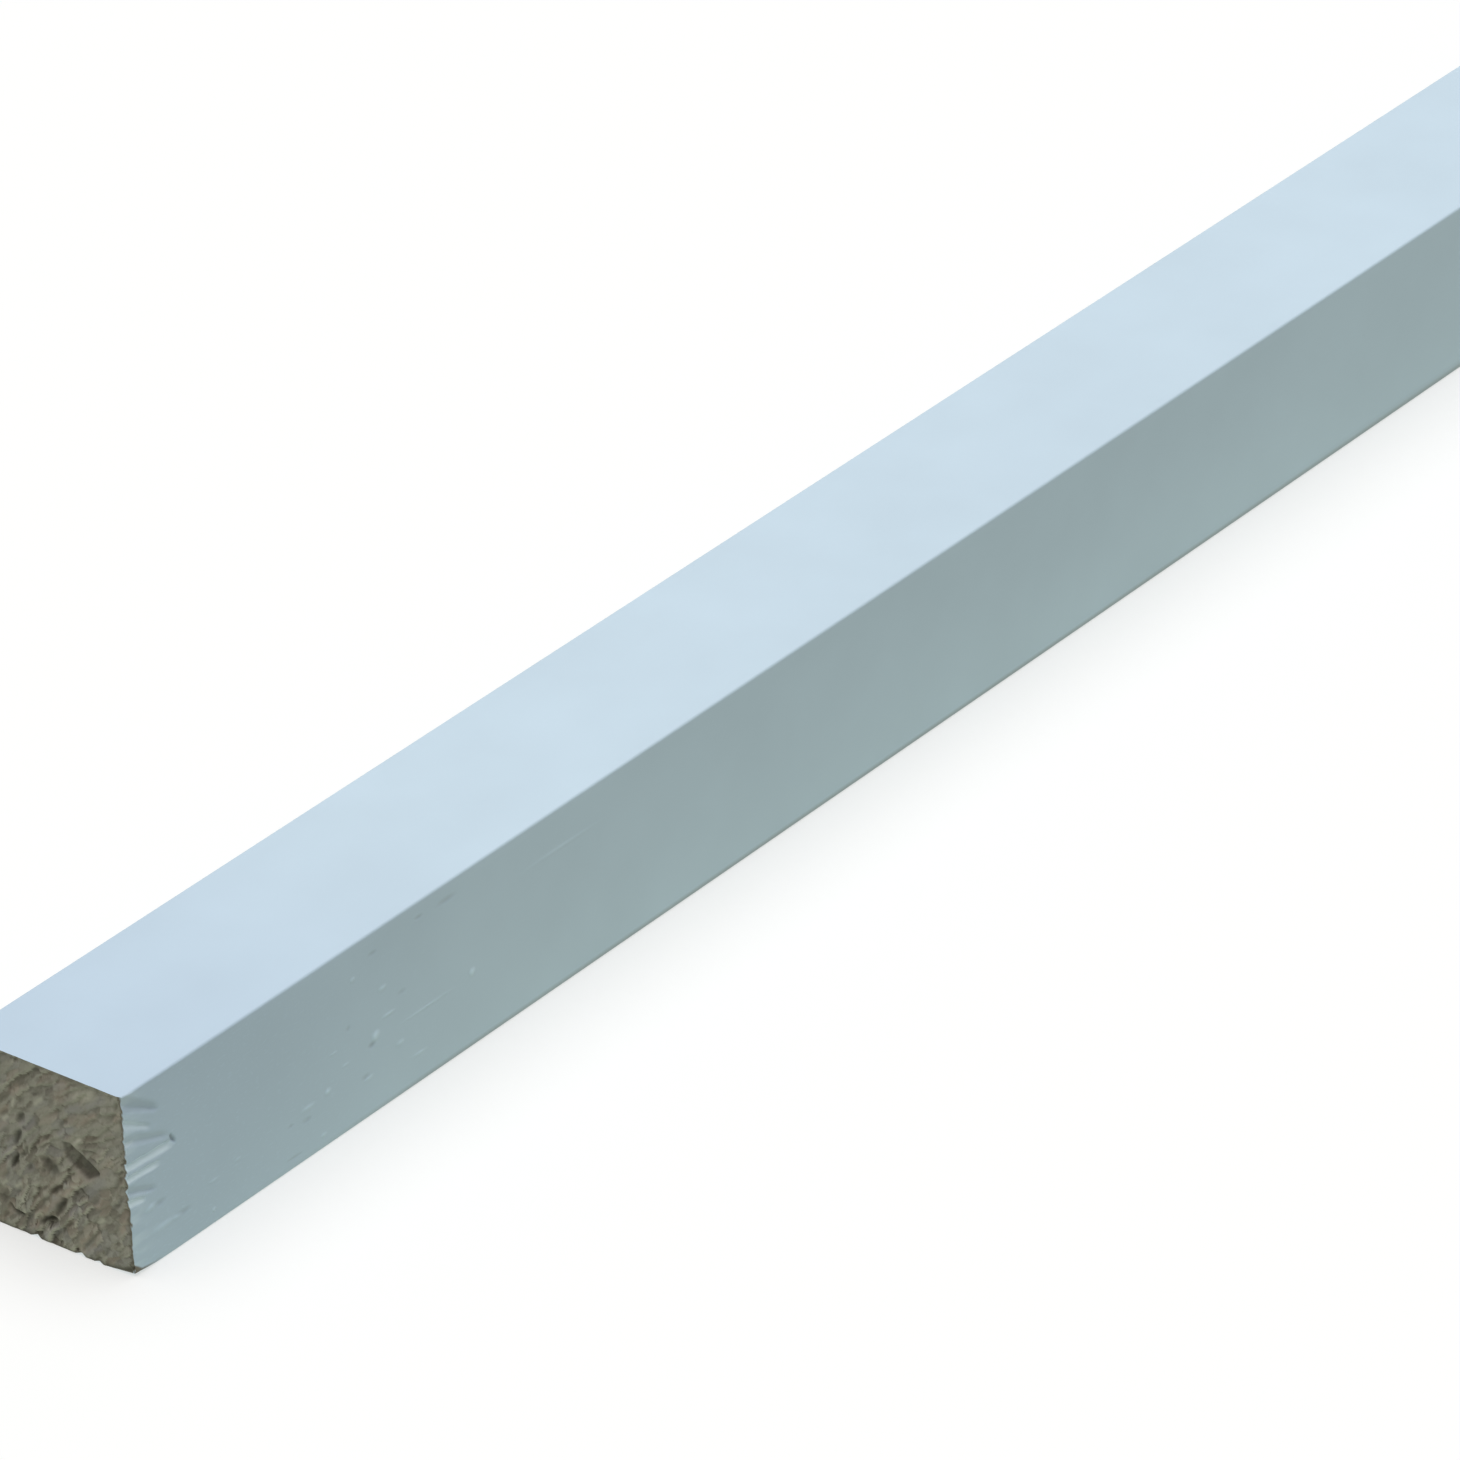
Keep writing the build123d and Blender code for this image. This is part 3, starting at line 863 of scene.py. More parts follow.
class Section:
    """The stick's section as a square grid, with its outline as four sides of numbered stops."""

    ARRIS_CELLS = 4

    def __init__(self, width, height, arris, flat_cells):
        self.half_width, self.half_height = width / 2, height / 2
        self.cells = 2 * self.ARRIS_CELLS + flat_cells
        across = grid_lines(width, arris, self.ARRIS_CELLS, flat_cells)[::-1]
        up = grid_lines(height, arris, self.ARRIS_CELLS, flat_cells)
        # Rows run from the front face to the back, columns from the bottom up
        square = np.meshgrid(across, up, indexing="ij")
        self.across, self.up = round_corners(*square, self.half_width, self.half_height, arris)
        self.share = (up - up[0]) / (up[-1] - up[0])
        last = self.cells
        stops = np.arange(last)
        rows = [stops * 0, stops, stops * 0 + last, last - stops]
        columns = [stops, stops * 0 + last, last - stops, stops * 0]
        self.outline = np.concatenate(rows), np.concatenate(columns)
        # Outward directions: straight off the flats, and round from the centre of each arris
        a, b = self.across[self.outline], self.up[self.outline]
        core_a = np.clip(a, -self.half_width + arris, self.half_width - arris)
        core_b = np.clip(b, -self.half_height + arris, self.half_height - arris)
        reach = np.hypot(a - core_a, b - core_b)
        self.out = (a - core_a) / reach, (b - core_b) / reach

    def level(self, flat_step):
        """Stops kept on a side: all of them, or every second over the edges and fewer on the flat."""
        if flat_step == 1:
            return list(range(self.cells + 1))
        edge = list(range(0, self.ARRIS_CELLS, 2))
        flat = list(range(self.ARRIS_CELLS, self.cells - self.ARRIS_CELLS + 1, flat_step))
        return edge + flat + [self.cells - stop for stop in reversed(edge)]


class Ring(NamedTuple):
    """One loop of corners round the stick: its distance along, the stops it keeps, its corners."""

    along: float
    stops: list
    corners: np.ndarray


class Skin:
    """Collects the stick's mesh: corners, faces, and each face's finish and place in the bake map."""

    # Shares of the bake map: four bands for the long faces, then the two ends above them, each with
    # its start and its size. The near stretch of a band, in mm, gets a larger share.
    BAND, BAND_GAP, MARGIN = 0.107, 0.006, 0.004
    NEAR_LENGTH, NEAR_SHARE = 60.0, 0.45
    ENDS_AT = 0.455
    TORN_ROOM, CLEAN_ROOM = (0.004, 0.535), (0.55, 0.44)

    # How far the paint's ragged edge reaches into the torn end, how soft it is there, and how far in
    # the end's mesh follows the grooves of the long faces, in mm. The film is partly chalky there.
    PAINT_IN, PAINT_BLUR, FOLLOWS = 0.22, 0.25, 1.6
    PAINT_BARE = 0.3

    def __init__(self, length, section):
        self.length, self.section = length, section
        self.points, self.traits = [], []
        self.faces, self.finishes, self.places = [], [], []

    def add_points(self, along, across, up, *traits):
        """Adds corners with their traits and returns their numbers.

        Positions are in mm, from the saw cut and the section's middle.
        """
        start = len(self.points)
        self.points.extend(zip(along.tolist(), across.tolist(), up.tolist()))
        self.traits.extend(zip(*(np.broadcast_to(trait, along.shape).tolist() for trait in traits)))
        return np.arange(start, start + len(along))

    def add_face(self, corners, finish, places):
        """Adds a face with its finish and its corners' places in the bake map."""
        self.faces.append(corners)
        self.finishes.append(finish)
        self.places.extend(places)

    def band_place(self, along, side, stop):
        """Where a corner of a long face lies in the bake map."""
        near, share = self.NEAR_LENGTH, self.NEAR_SHARE
        if along < near:
            reach = share * along / near
        else:
            reach = share + (1 - share) * (along - near) / (self.length - near)
        low = self.BAND_GAP + side * (self.BAND + self.BAND_GAP)
        return (
            self.MARGIN + (1 - 2 * self.MARGIN) * reach,
            low + self.BAND * self.section.share[stop],
        )

    def ring(self, along, flat_step, offsets=None):
        """Adds a loop of corners, with the relief of the faces pressed in."""
        section = self.section
        stops = section.level(flat_step)
        keep = np.concatenate([np.array(stops[:-1]) + side * section.cells for side in range(4)])
        across, up = section.across[section.outline][keep], section.up[section.outline][keep]
        out_a, out_b = section.out[0][keep], section.out[1][keep]
        along_each = np.full(len(keep), float(along)) if offsets is None else offsets[keep]
        faces_front, faces_down = np.clip(out_a, 0, 1), np.clip(-out_b, 0, 1)
        sunk_front, chalk_and_highlight, raw_wood_and_shade = front_relief(along_each, up, section.half_height)
        sunk = sunk_front * faces_front + bottom_relief(along_each, across) * faces_down
        # Wood shows all round the lower front arris beside the cut, and further on the lower front edge is
        # drawn darker in the wood's colour
        worn_edge = np.clip(4 * faces_front * faces_down, 0, 1) * beside_cut(along_each)
        edge_dark = np.clip(1.5 * faces_front, 0, 1) * lower_edge_dark(along_each, up, section.half_height)
        raw_wood_and_shade = np.max([raw_wood_and_shade * faces_front, worn_edge, edge_dark], axis=0)
        lift = corner_lift(along_each, across, up, section.half_width, section.half_height)
        corners = self.add_points(
            along_each,
            across - out_a * sunk,
            up - out_b * sunk + lift,
            chalk_and_highlight * faces_front,
            raw_wood_and_shade,
            *[0.0] * len(Grain._fields[1:]),
        )
        return Ring(along, stops, corners)

    def join(self, near, far):
        """Closes the stretch between two loops, one of which may keep fewer stops."""
        for side in range(4):
            a, b = self.side_of(near, side), self.side_of(far, side)
            i = j = 0
            while i < len(a) - 1 or j < len(b) - 1:
                next_a = a[i + 1][0] if i < len(a) - 1 else math.inf
                next_b = b[j + 1][0] if j < len(b) - 1 else math.inf
                face = [(near, a[i]), (far, b[j])]
                if next_b <= next_a:
                    j += 1
                    face.append((far, b[j]))
                if next_a <= next_b:
                    i += 1
                    face.append((near, a[i]))
                corners = [stop[1] for _, stop in face]
                places = [self.band_place(ring.along, side, stop[0]) for ring, stop in face]
                self.add_face(corners, PAINT, places)

    def side_of(self, ring, side):
        """The stops and corners of one side of a loop, with the first corner of the next side."""
        count = len(ring.stops) - 1
        numbers = [(side * count + k) % len(ring.corners) for k in range(count + 1)]
        return [(stop, int(ring.corners[k])) for stop, k in zip(ring.stops, numbers)]

    def end(self, ring, grain, room, outward):
        """Closes one end: a grid over the section, sewn to the loop round it.

        outward is the way it faces along the stick: -1 for the torn end and 1 for the clean one.
        """
        section = self.section
        stops = ring.stops
        lines = np.ix_(stops, stops)
        across, up = section.across[lines], section.up[lines]
        last = len(stops) - 1
        numbers = np.zeros((last + 1, last + 1), int)
        inner = np.s_[1:last, 1:last]
        depth, *tones = (trait[lines][inner].ravel() for trait in grain)
        along, back, lift, paint_in = self.length - depth, 0 * up, 0 * up, 0 * up
        if outward < 0:
            along = depth
            back, lift = self.near_shift(across, up)
            paint_in = self.PAINT_IN * (1 + RIM.rough(up / 0.7, across + 30, 2))
        raw_wood_and_shade = ease((section.half_width - across - paint_in) / self.PAINT_BLUR + 1)
        numbers[inner] = self.add_points(
            along,
            (across - back)[inner].ravel(),
            (up + lift)[inner].ravel(),
            self.PAINT_BARE,
            raw_wood_and_shade[inner].ravel(),
            *tones,
        ).reshape(last - 1, last - 1)
        for side in range(4):
            for k, (_, corner) in enumerate(self.side_of(ring, side)[:-1]):
                spot = [(0, k), (k, last), (last, last - k), (last - k, 0)][side]
                numbers[spot] = corner
        width = section.across[0, 0] - section.across[-1, 0]
        height = section.up[0, -1] - section.up[0, 0]
        start, share = room
        map_a = start + share * (0.5 - across / width)
        map_b = self.ENDS_AT + share * (0.5 + up / height)
        for i in range(last):
            for j in range(last):
                cell = [(i, j), (i, j + 1), (i + 1, j + 1), (i + 1, j)][:: -outward]
                finish = SAWN if min(raw_wood_and_shade[c] for c in cell) == 1 else PAINT
                self.add_face([int(numbers[c]) for c in cell], finish, [(map_a[c], map_b[c]) for c in cell])

    def near_shift(self, across, up):
        """How far the torn end's grid draws back behind the front face's grooves, and how far it
        draws up over the notches in the bottom face and over the worn corner."""
        half_width, half_height = self.section.half_width, self.section.half_height
        by_front = np.clip(1 - (half_width - across) / self.FOLLOWS, 0, 1)
        by_bottom = np.clip(1 - (up + half_height) / self.FOLLOWS, 0, 1)
        lift = bottom_relief(0 * across, across) * by_bottom
        lift = lift + corner_lift(0 * up, across, up, half_width, half_height)
        return front_relief(0 * up, up, half_height)[0] * by_front, lift


# Rows of the mesh along the stick, as where they start and end in mm and how many cells wide they
# are: close together where splinters came off, and closest at the cut and where the grooves end
FINE_ROWS = ((0.0, 1.0, 1), (1.1, 6.2, 2), (6.3, 7.9, 1), (8.0, 9.0, 2))
WIDER_ROWS = (9.2, 18.0, 4)

# Rows where the lower edge's wear comes up, as start, end and distance, then the rows down the plain
# shaft, with how far from the clean end they stop, and the last two before that end, all in mm
WEAR_ROWS = (19.0, 60.0, 1.5)
PLAIN_FROM, PLAIN_TO_GO, PLAIN_COUNT = 62.0, 2.0, 56
LAST_TO_GO = (1.0, 0.4)

# The rows follow the cut's ragged rim less and less, and are straight from here on, in mm
STRAIGHT_FROM = 3.0


def build_stick(length, width, height, arris, flat_cells):
    """The whole stick as one closed skin, with its detail close together near the torn end."""
    section = Section(width, height, arris, flat_cells)
    skin = Skin(length, section)
    half = section.half_width, section.half_height
    torn = torn_end(section.across, section.up, *half)
    clean = clean_end(section.across, section.up, *half)
    rim = torn.depth[section.outline]
    cell = (width - 2 * arris) / flat_cells

    fine = np.concatenate([np.arange(start, end, cells * cell) for start, end, cells in FINE_ROWS])
    wider = np.arange(*WIDER_ROWS[:2], WIDER_ROWS[2] * cell)
    plain = np.linspace(PLAIN_FROM, length - PLAIN_TO_GO, PLAIN_COUNT)
    open_rows = np.concatenate([np.arange(*WEAR_ROWS), plain])
    last_rows = [length - to_go for to_go in LAST_TO_GO]
    near = first = skin.ring(0.0, 1, rim)
    for rows, flat_step in ((fine[1:], 1), (wider, 2), (open_rows, 4), (last_rows, 2)):
        for along in rows:
            offsets = rim + along * (STRAIGHT_FROM - rim) / STRAIGHT_FROM if along < STRAIGHT_FROM else None
            far = skin.ring(along, flat_step, offsets)
            skin.join(near, far)
            near = far
    last = skin.ring(length, 2, length - clean.depth[section.outline])
    skin.join(near, last)

    skin.end(first, torn, skin.TORN_ROOM, -1)
    skin.end(last, clean, skin.CLEAN_ROOM, 1)
    return skin


def linear(colour):
    """An sRGB hex colour such as "C8DCE4" as linear red, green and blue."""
    shares = [int(colour[k : k + 2], 16) / 255 for k in (0, 2, 4)]
    return [c / 12.92 if c <= 0.04045 else ((c + 0.055) / 1.055) ** 2.4 for c in shares]


def add_node(tree, kind, inputs=None, **settings):
    """Adds one node, sets its properties, and fills its inputs with values or links."""
    made = tree.nodes.new(kind)
    for name, value in settings.items():
        setattr(made, name, value)
    for name, value in (inputs or {}).items():
        if isinstance(value, bpy.types.NodeSocket):
            tree.links.new(value, made.inputs[name])
        else:
            made.inputs[name].default_value = value
    return made


def new_material(name):
    """An empty node material with its output node."""
    material = bpy.data.materials.new(name)
    material.use_nodes = True
    material.node_tree.nodes.clear()
    return material, material.node_tree, add_node(material.node_tree, "ShaderNodeOutputMaterial")


# Patterns in the paint, in mm: streaks of raised grain, specks of dust, waves in the film, and
# patches that are a little paler or darker. Real dust is too fine to show, and is drawn coarser.
GRAIN_STREAK = 9.0, 0.45, 0.45
DUST_SPECK = 0.8, 0.3, 0.3
FILM_WAVE, PAINT_PATCH = 1.6, 14.0

# Patterns in the end grain, in mm, along the bundles' lean: the bundles, and tufts of fibre. Single
# fibres are about 0.03 mm thick, too fine to show, and are drawn as tufts.
BUNDLE_SIZE = 2.0, 2.4, 0.8
TUFT_SIZE = 0.5, 0.6, 0.22

# Between these values lies almost all of a noise, and over the second two only its few peaks
NOISE_RANGE = {"From Min": 0.3, "From Max": 0.7}
NOISE_PEAKS = {"From Min": 0.58, "From Max": 0.7}

# How much the paint's patches and the tufts differ in shade, either way
PATCH_SHADE, TUFT_SHADE = 0.025, 0.1

# Dust lies on what is no further back from the front plane than this
DUST_WITHIN = 0.1 * MM

# How much of each tint's colour its strongest places have in the end grain. The crests' and pale patches'
# colour is a painted highlight, and the crevices' a painted shade.
END_TINTS = {"rosy": 0.6, "slate": 0.6, "pale_and_highlight": 0.75, "crevice_shade": 1.0}


def mark_dome(tree, place, mark):
    """The height, in mm, of one speck or pinhole in the paint."""
    middle = (
        cad_box[0][0] + mark.along * MM,
        cad_box[0][1],
        (cad_box[0][2] + cad_box[1][2]) / 2 + mark.up * MM,
    )
    # A mark fades out at twice its size, so that half its height is left where its outline is
    reach = (mark.long * MM, 1.0 * MM, mark.tall * MM)
    room = add_node(
        tree,
        "ShaderNodeMapping",
        {"Vector": place, "Location": middle, "Scale": reach},
        vector_type="TEXTURE",
    )
    far = add_node(tree, "ShaderNodeVectorMath", {0: room.outputs[0]}, operation="LENGTH")
    dome = add_node(
        tree,
        "ShaderNodeMapRange",
        {"Value": far.outputs["Value"], "To Min": mark.height, "To Max": 0.0},
        interpolation_type="SMOOTHSTEP",
    )
    return dome.outputs[0]


def satin_paint_on_softwood(finish):
    """Pale blue-grey alkyd paint, brushed over planed pine: an even satin film.

    The eye sees a smooth pale colour, drawn darker near the torn end as painted shade. In low light the
    raised grain shows as faint long streaks, with specks of dust and pinholes; raised specks are drawn
    paler, a painted highlight, and pinholes darker, a painted shade. Where splinters tore off, the paint
    is thin and chalky and drawn paler, partly a painted highlight on slivers that face up, with painted
    shade in the wood's colour on walls that face down and in the dent. The wood shows where the saw broke
    the paint and along the lower front edge beside the cut, and further on that edge is drawn darker in
    the wood's colour.
    """
    material, tree, output = new_material("satin_paint_on_softwood")
    place = add_node(tree, "ShaderNodeTexCoord").outputs["Object"]
    noises = []
    for size, detail in ((GRAIN_STREAK, 2.0), (DUST_SPECK, 1.0)):
        room = add_node(
            tree,
            "ShaderNodeMapping",
            {"Vector": place, "Scale": [reach * MM for reach in size]},
            vector_type="TEXTURE",
        ).outputs[0]
        noises.append(add_node(tree, "ShaderNodeTexNoise", {"Vector": room, "Scale": 1.0, "Detail": detail}))
    for size, detail in ((FILM_WAVE, 3.0), (PAINT_PATCH, 2.0)):
        inputs = {"Vector": place, "Scale": 1 / (size * MM), "Detail": detail}
        noises.append(add_node(tree, "ShaderNodeTexNoise", inputs))
    grain, dust, film, patches = (noise.outputs["Fac"] for noise in noises)

    marks = mark_dome(tree, place, FRONT_MARKS[0])
    for mark in FRONT_MARKS[1:]:
        dome = mark_dome(tree, place, mark)
        marks = add_node(tree, "ShaderNodeMath", {0: marks, 1: dome}, operation="ADD").outputs[0]
    height = marks
    for pattern, size in ((grain, finish.grain_height), (film, finish.film_height)):
        height = add_node(
            tree,
            "ShaderNodeMath",
            {0: pattern, 1: size * METRES_TO_MM, 2: height},
            operation="MULTIPLY_ADD",
        ).outputs[0]
    bump = add_node(tree, "ShaderNodeBump", {"Height": height, "Distance": MM, "Strength": 1.0})

    # The darker tint near the torn end, a painted shade, and the dust end at this length, and dust lies on
    # the front face alone
    spot = add_node(tree, "ShaderNodeSeparateXYZ", {0: place})
    shade_and_dust_near_cut = add_node(
        tree,
        "ShaderNodeMapRange",
        {
            "Value": spot.outputs["X"],
            "From Min": cad_box[0][0],
            "From Max": cad_box[0][0] + finish.shade_and_dust_length,
            "To Min": 1.0,
            "To Max": 0.0,
        },
        interpolation_type="SMOOTHSTEP",
    ).outputs[0]
    front = add_node(
        tree,
        "ShaderNodeMath",
        {0: spot.outputs["Y"], 1: cad_box[0][1] + DUST_WITHIN},
        operation="LESS_THAN",
    ).outputs[0]
    specks = add_node(
        tree, "ShaderNodeMapRange", {"Value": dust, **NOISE_PEAKS, "To Max": finish.dust_contrast}
    ).outputs[0]
    specks = add_node(tree, "ShaderNodeMath", {0: specks, 1: front}, operation="MULTIPLY").outputs[0]
    shade = add_node(
        tree,
        "ShaderNodeMapRange",
        {"Value": patches, **NOISE_RANGE, "To Min": 1 - PATCH_SHADE, "To Max": 1 + PATCH_SHADE},
    ).outputs[0]
    # Raised marks are drawn paler, a painted highlight, and pinholes darker, a painted shade; the dust
    # specks fade out over the same length as the shade near the cut
    for pattern, share in ((marks, finish.mark_highlight_and_shade), (specks, shade_and_dust_near_cut)):
        shade = add_node(
            tree, "ShaderNodeMath", {0: pattern, 1: share, 2: shade}, operation="MULTIPLY_ADD"
        ).outputs[0]
    # Painted shade: the paint is drawn darker near the torn end
    colour = add_node(
        tree,
        "ShaderNodeMix",
        {"Factor": shade_and_dust_near_cut, "A": (*finish.colour, 1.0), "B": (*finish.near_cut_shade_colour, 1.0)},
        data_type="RGBA",
    ).outputs["Result"]
    colour = add_node(
        tree, "ShaderNodeVectorMath", {0: colour, "Scale": shade}, operation="SCALE"
    ).outputs[0]
    for trait, end_colour in (("chalk_and_highlight", finish.chalk_and_highlight_colour), ("raw_wood_and_shade", finish.raw_wood_and_shade_colour)):
        share = add_node(tree, "ShaderNodeAttribute", attribute_name=trait)
        colour = add_node(
            tree,
            "ShaderNodeMix",
            {"Factor": share.outputs["Fac"], "A": colour, "B": (*end_colour, 1.0)},
            data_type="RGBA",
        ).outputs["Result"]
    surface = add_node(
        tree,
        "ShaderNodeBsdfPrincipled",
        {"Base Color": colour, "Roughness": finish.roughness, "IOR": 1.5, "Normal": bump.outputs[0]},
    )
    tree.links.new(surface.outputs[0], output.inputs["Surface"])
    return material


def sawn_softwood_end_grain(finish):
    """Pine cut across the grain with a coarse saw: unfinished, matt, grey-brown.

    The eye sees leaning bundles of torn fibre with dark gaps between them, drawn as painted shade, their
    edges paler, drawn as painted highlight, and streaks of pinkish resin and grey weathering along the
    same lean.
    """
    material, tree, output = new_material("sawn_softwood_end_grain")
    place = add_node(tree, "ShaderNodeTexCoord").outputs["Object"]
    noises = []
    for size in (BUNDLE_SIZE, TUFT_SIZE):
        room = add_node(
            tree,
            "ShaderNodeMapping",
            {"Vector": place, "Rotation": (-finish.lean, 0.0, 0.0), "Scale": [reach * MM for reach in size]},
            vector_type="TEXTURE",
        ).outputs[0]
        noises.append(add_node(tree, "ShaderNodeTexNoise", {"Vector": room, "Scale": 1.0, "Detail": 3.0}))
    bundles, tufts = (noise.outputs["Fac"] for noise in noises)
    lump = add_node(tree, "ShaderNodeAttribute", attribute_name="tone").outputs["Fac"]
    shade = add_node(tree, "ShaderNodeMath", {0: lump, 1: bundles}, operation="ADD").outputs[0]
    tone = add_node(tree, "ShaderNodeValToRGB", {"Fac": shade})
    ramp = tone.color_ramp
    ramp.elements[0].position, ramp.elements[1].position = 0.6, 1.0
    ramp.elements[0].color = (*finish.early_colour, 1.0)
    ramp.elements[1].color = (*finish.late_colour, 1.0)
    mottle = add_node(
        tree,
        "ShaderNodeMapRange",
        {"Value": tufts, **NOISE_RANGE, "To Min": 1 - TUFT_SHADE, "To Max": 1 + TUFT_SHADE},
    ).outputs[0]
    colour = add_node(
        tree, "ShaderNodeVectorMath", {0: tone.outputs["Color"], "Scale": mottle}, operation="SCALE"
    ).outputs[0]
    tints = finish.resin_colour, finish.weathered_colour, finish.pale_and_highlight_colour, finish.crevice_shade_colour
    for (trait, share), tint in zip(END_TINTS.items(), tints):
        strength = add_node(tree, "ShaderNodeAttribute", attribute_name=trait).outputs["Fac"]
        strength = add_node(tree, "ShaderNodeMath", {0: strength, 1: share}, operation="MULTIPLY").outputs[0]
        colour = add_node(
            tree, "ShaderNodeMix", {"Factor": strength, "A": colour, "B": (*tint, 1.0)}, data_type="RGBA"
        ).outputs["Result"]
    bump = add_node(
        tree, "ShaderNodeBump", {"Height": tufts, "Distance": finish.fibre_height, "Strength": 1.0}
    )
    surface = add_node(
        tree,
        "ShaderNodeBsdfPrincipled",
        {"Base Color": colour, "Roughness": finish.roughness, "IOR": 1.45, "Normal": bump.outputs[0]},
    )
    tree.links.new(surface.outputs[0], output.inputs["Surface"])
    return material


def backdrop_rays(tree):
    """1 for the rays that show a backdrop: the camera's, and those in gloss and glass."""
    rays = add_node(tree, "ShaderNodeLightPath").outputs
    seen = rays["Is Camera Ray"]
    for kind in ("Is Glossy Ray", "Is Transmission Ray"):
        seen = add_node(tree, "ShaderNodeMath", {0: seen, 1: rays[kind]}, operation="MAXIMUM").outputs[0]
    return seen


# The paper throws up more light close under the stick: how much there, how much further out, and how
# far out that is
BOUNCE_UNDER, BOUNCE_OUTSIDE, BOUNCE_FADE = 1.36, 0.7, 60 * MM


def studio_floor(colour, bounce, glow):
    """Seamless white paper, lit from behind, that throws soft light up at the stick.

    The camera sees part paper, which keeps the stick's shadow, and part of the light through it.
    """
    material, tree, output = new_material("studio_floor")
    seen = backdrop_rays(tree)
    place = add_node(tree, "ShaderNodeTexCoord").outputs["Object"]
    spot = add_node(tree, "ShaderNodeSeparateXYZ", {0: place})
    aside = add_node(tree, "ShaderNodeMath", {0: spot.outputs["Y"]}, operation="ABSOLUTE").outputs[0]
    strip = add_node(
        tree,
        "ShaderNodeMapRange",
        {"Value": aside, "From Max": BOUNCE_FADE, "To Min": BOUNCE_UNDER, "To Max": BOUNCE_OUTSIDE},
    )
    bounced = add_node(
        tree, "ShaderNodeVectorMath", {0: bounce, "Scale": strip.outputs[0]}, operation="SCALE"
    )
    light = add_node(
        tree,
        "ShaderNodeMix",
        {"Factor": seen, "A": bounced.outputs[0], "B": (*colour, 1.0)},
        data_type="RGBA",
    )
    paper = add_node(tree, "ShaderNodeBsdfDiffuse", {"Color": (*colour, 1.0)})
    through = add_node(tree, "ShaderNodeEmission", {"Color": light.outputs["Result"], "Strength": 1.0})
    share = add_node(tree, "ShaderNodeMapRange", {"Value": seen, "To Min": 1.0, "To Max": glow})
    mix = add_node(
        tree, "ShaderNodeMixShader", {0: share.outputs[0], 1: paper.outputs[0], 2: through.outputs[0]}
    )
    tree.links.new(mix.outputs[0], output.inputs["Surface"])
    return material


def studio_sky(colour, strength):
    """An even white tent over the stick. The camera sees it plain white."""
    world = bpy.data.worlds.new("studio_sky")
    world.use_nodes = True
    tree = world.node_tree
    tree.nodes.clear()
    light = add_node(tree, "ShaderNodeBackground", {"Color": (*colour, 1.0), "Strength": strength})
    white = add_node(tree, "ShaderNodeBackground", {"Color": (1.0, 1.0, 1.0, 1.0), "Strength": 1.0})
    mix = add_node(
        tree, "ShaderNodeMixShader", {0: backdrop_rays(tree), 1: light.outputs[0], 2: white.outputs[0]}
    )
    add_node(tree, "ShaderNodeOutputWorld", {"Surface": mix.outputs[0]})
    return world


# Settings that a user may change, with their units and subtypes
def length_setting(name, description, default):
    return FloatProperty(name=name, description=description, default=default, unit="LENGTH")


def angle_setting(name, description, degrees):
    return FloatProperty(name=name, description=description, default=math.radians(degrees), unit="ROTATION")


def share_setting(name, description, default):
    return FloatProperty(name=name, description=description, default=default, subtype="FACTOR")


def number_setting(name, description, default):
    return FloatProperty(name=name, description=description, default=default)


def colour_setting(name, description, colour):
    return FloatVectorProperty(name=name, description=description, default=linear(colour), subtype="COLOR")


class StickSizes(bpy.types.PropertyGroup):
    length: length_setting("Length", "Length of the stick", SIZE[0])
    width: length_setting("Width", "Front to back", SIZE[1])
    height: length_setting("Height", "Bottom to top", SIZE[2])
    arris: length_setting("Arris", "Radius of the eased long edges", 0.3 * MM)
    flat_cells: IntProperty(
        name="Cells across", description="Mesh cells across one face at the torn end", default=160
    )


class PaintFinish(bpy.types.PropertyGroup):
    colour: colour_setting("Paint", "Colour of the satin paint", "C4D7E6")
    # Paler than the paint where splinters tore off: chalky paint, and a painted highlight on slivers that
    # face up
    chalk_and_highlight_colour: colour_setting("Torn paint", "Chalky colour where splinters tore off", "E2F2FF")
    # Near the torn end the paint is drawn darker over this length: painted shade
    near_cut_shade_colour: colour_setting("Handled paint", "Duller colour near the torn end", "BBCEE0")
    shade_and_dust_length: length_setting("Handled length", "How far the dull paint reaches", 65 * MM)
    # Raised marks are drawn paler and sunk ones darker by their height: painted highlight and painted shade
    mark_highlight_and_shade: number_setting("Mark contrast", "How much paler a mark is per mm of its height", 2.0)
    dust_contrast: number_setting("Dust contrast", "How much paler a speck of fine dust is", 0.05)
    # The unpainted wood's colour, also used as painted shade in the grooves and the dent
    raw_wood_and_shade_colour: colour_setting("Raw edge", "Wood where the saw broke the paint", "655C49")
    roughness: share_setting("Roughness", "0 is mirror smooth", 0.5)
    grain_height: length_setting("Raised grain", "Height of the grain under the paint", 0.012 * MM)
    film_height: length_setting("Film", "Height of the paint film's unevenness", 0.01 * MM)


class SawnFinish(bpy.types.PropertyGroup):
    early_colour: colour_setting("Early wood", "Soft wood between the rings", "797368")
    late_colour: colour_setting("Late wood", "Hard wood of the rings", "979287")
    resin_colour: colour_setting("Resin", "Pinkish brown streaks", "A69487")
    weathered_colour: colour_setting("Weathered", "Greyer streaks", "969293")
    # The crests' paler colour is a painted highlight, and the crevices' dark colour a painted shade
    pale_and_highlight_colour: colour_setting("Crests", "Paler edges of the bundles", "BDB8AA")
    crevice_shade_colour: colour_setting("Crevices", "Wood deep between the fibres", "2E2B1F")
    roughness: share_setting("Roughness", "0 is mirror smooth", 0.9)
    fibre_height: length_setting("Fibre", "Height of the broken fibre ends", 0.04 * MM)
    lean: angle_setting("Lean", "How far the bundles lean", 45)


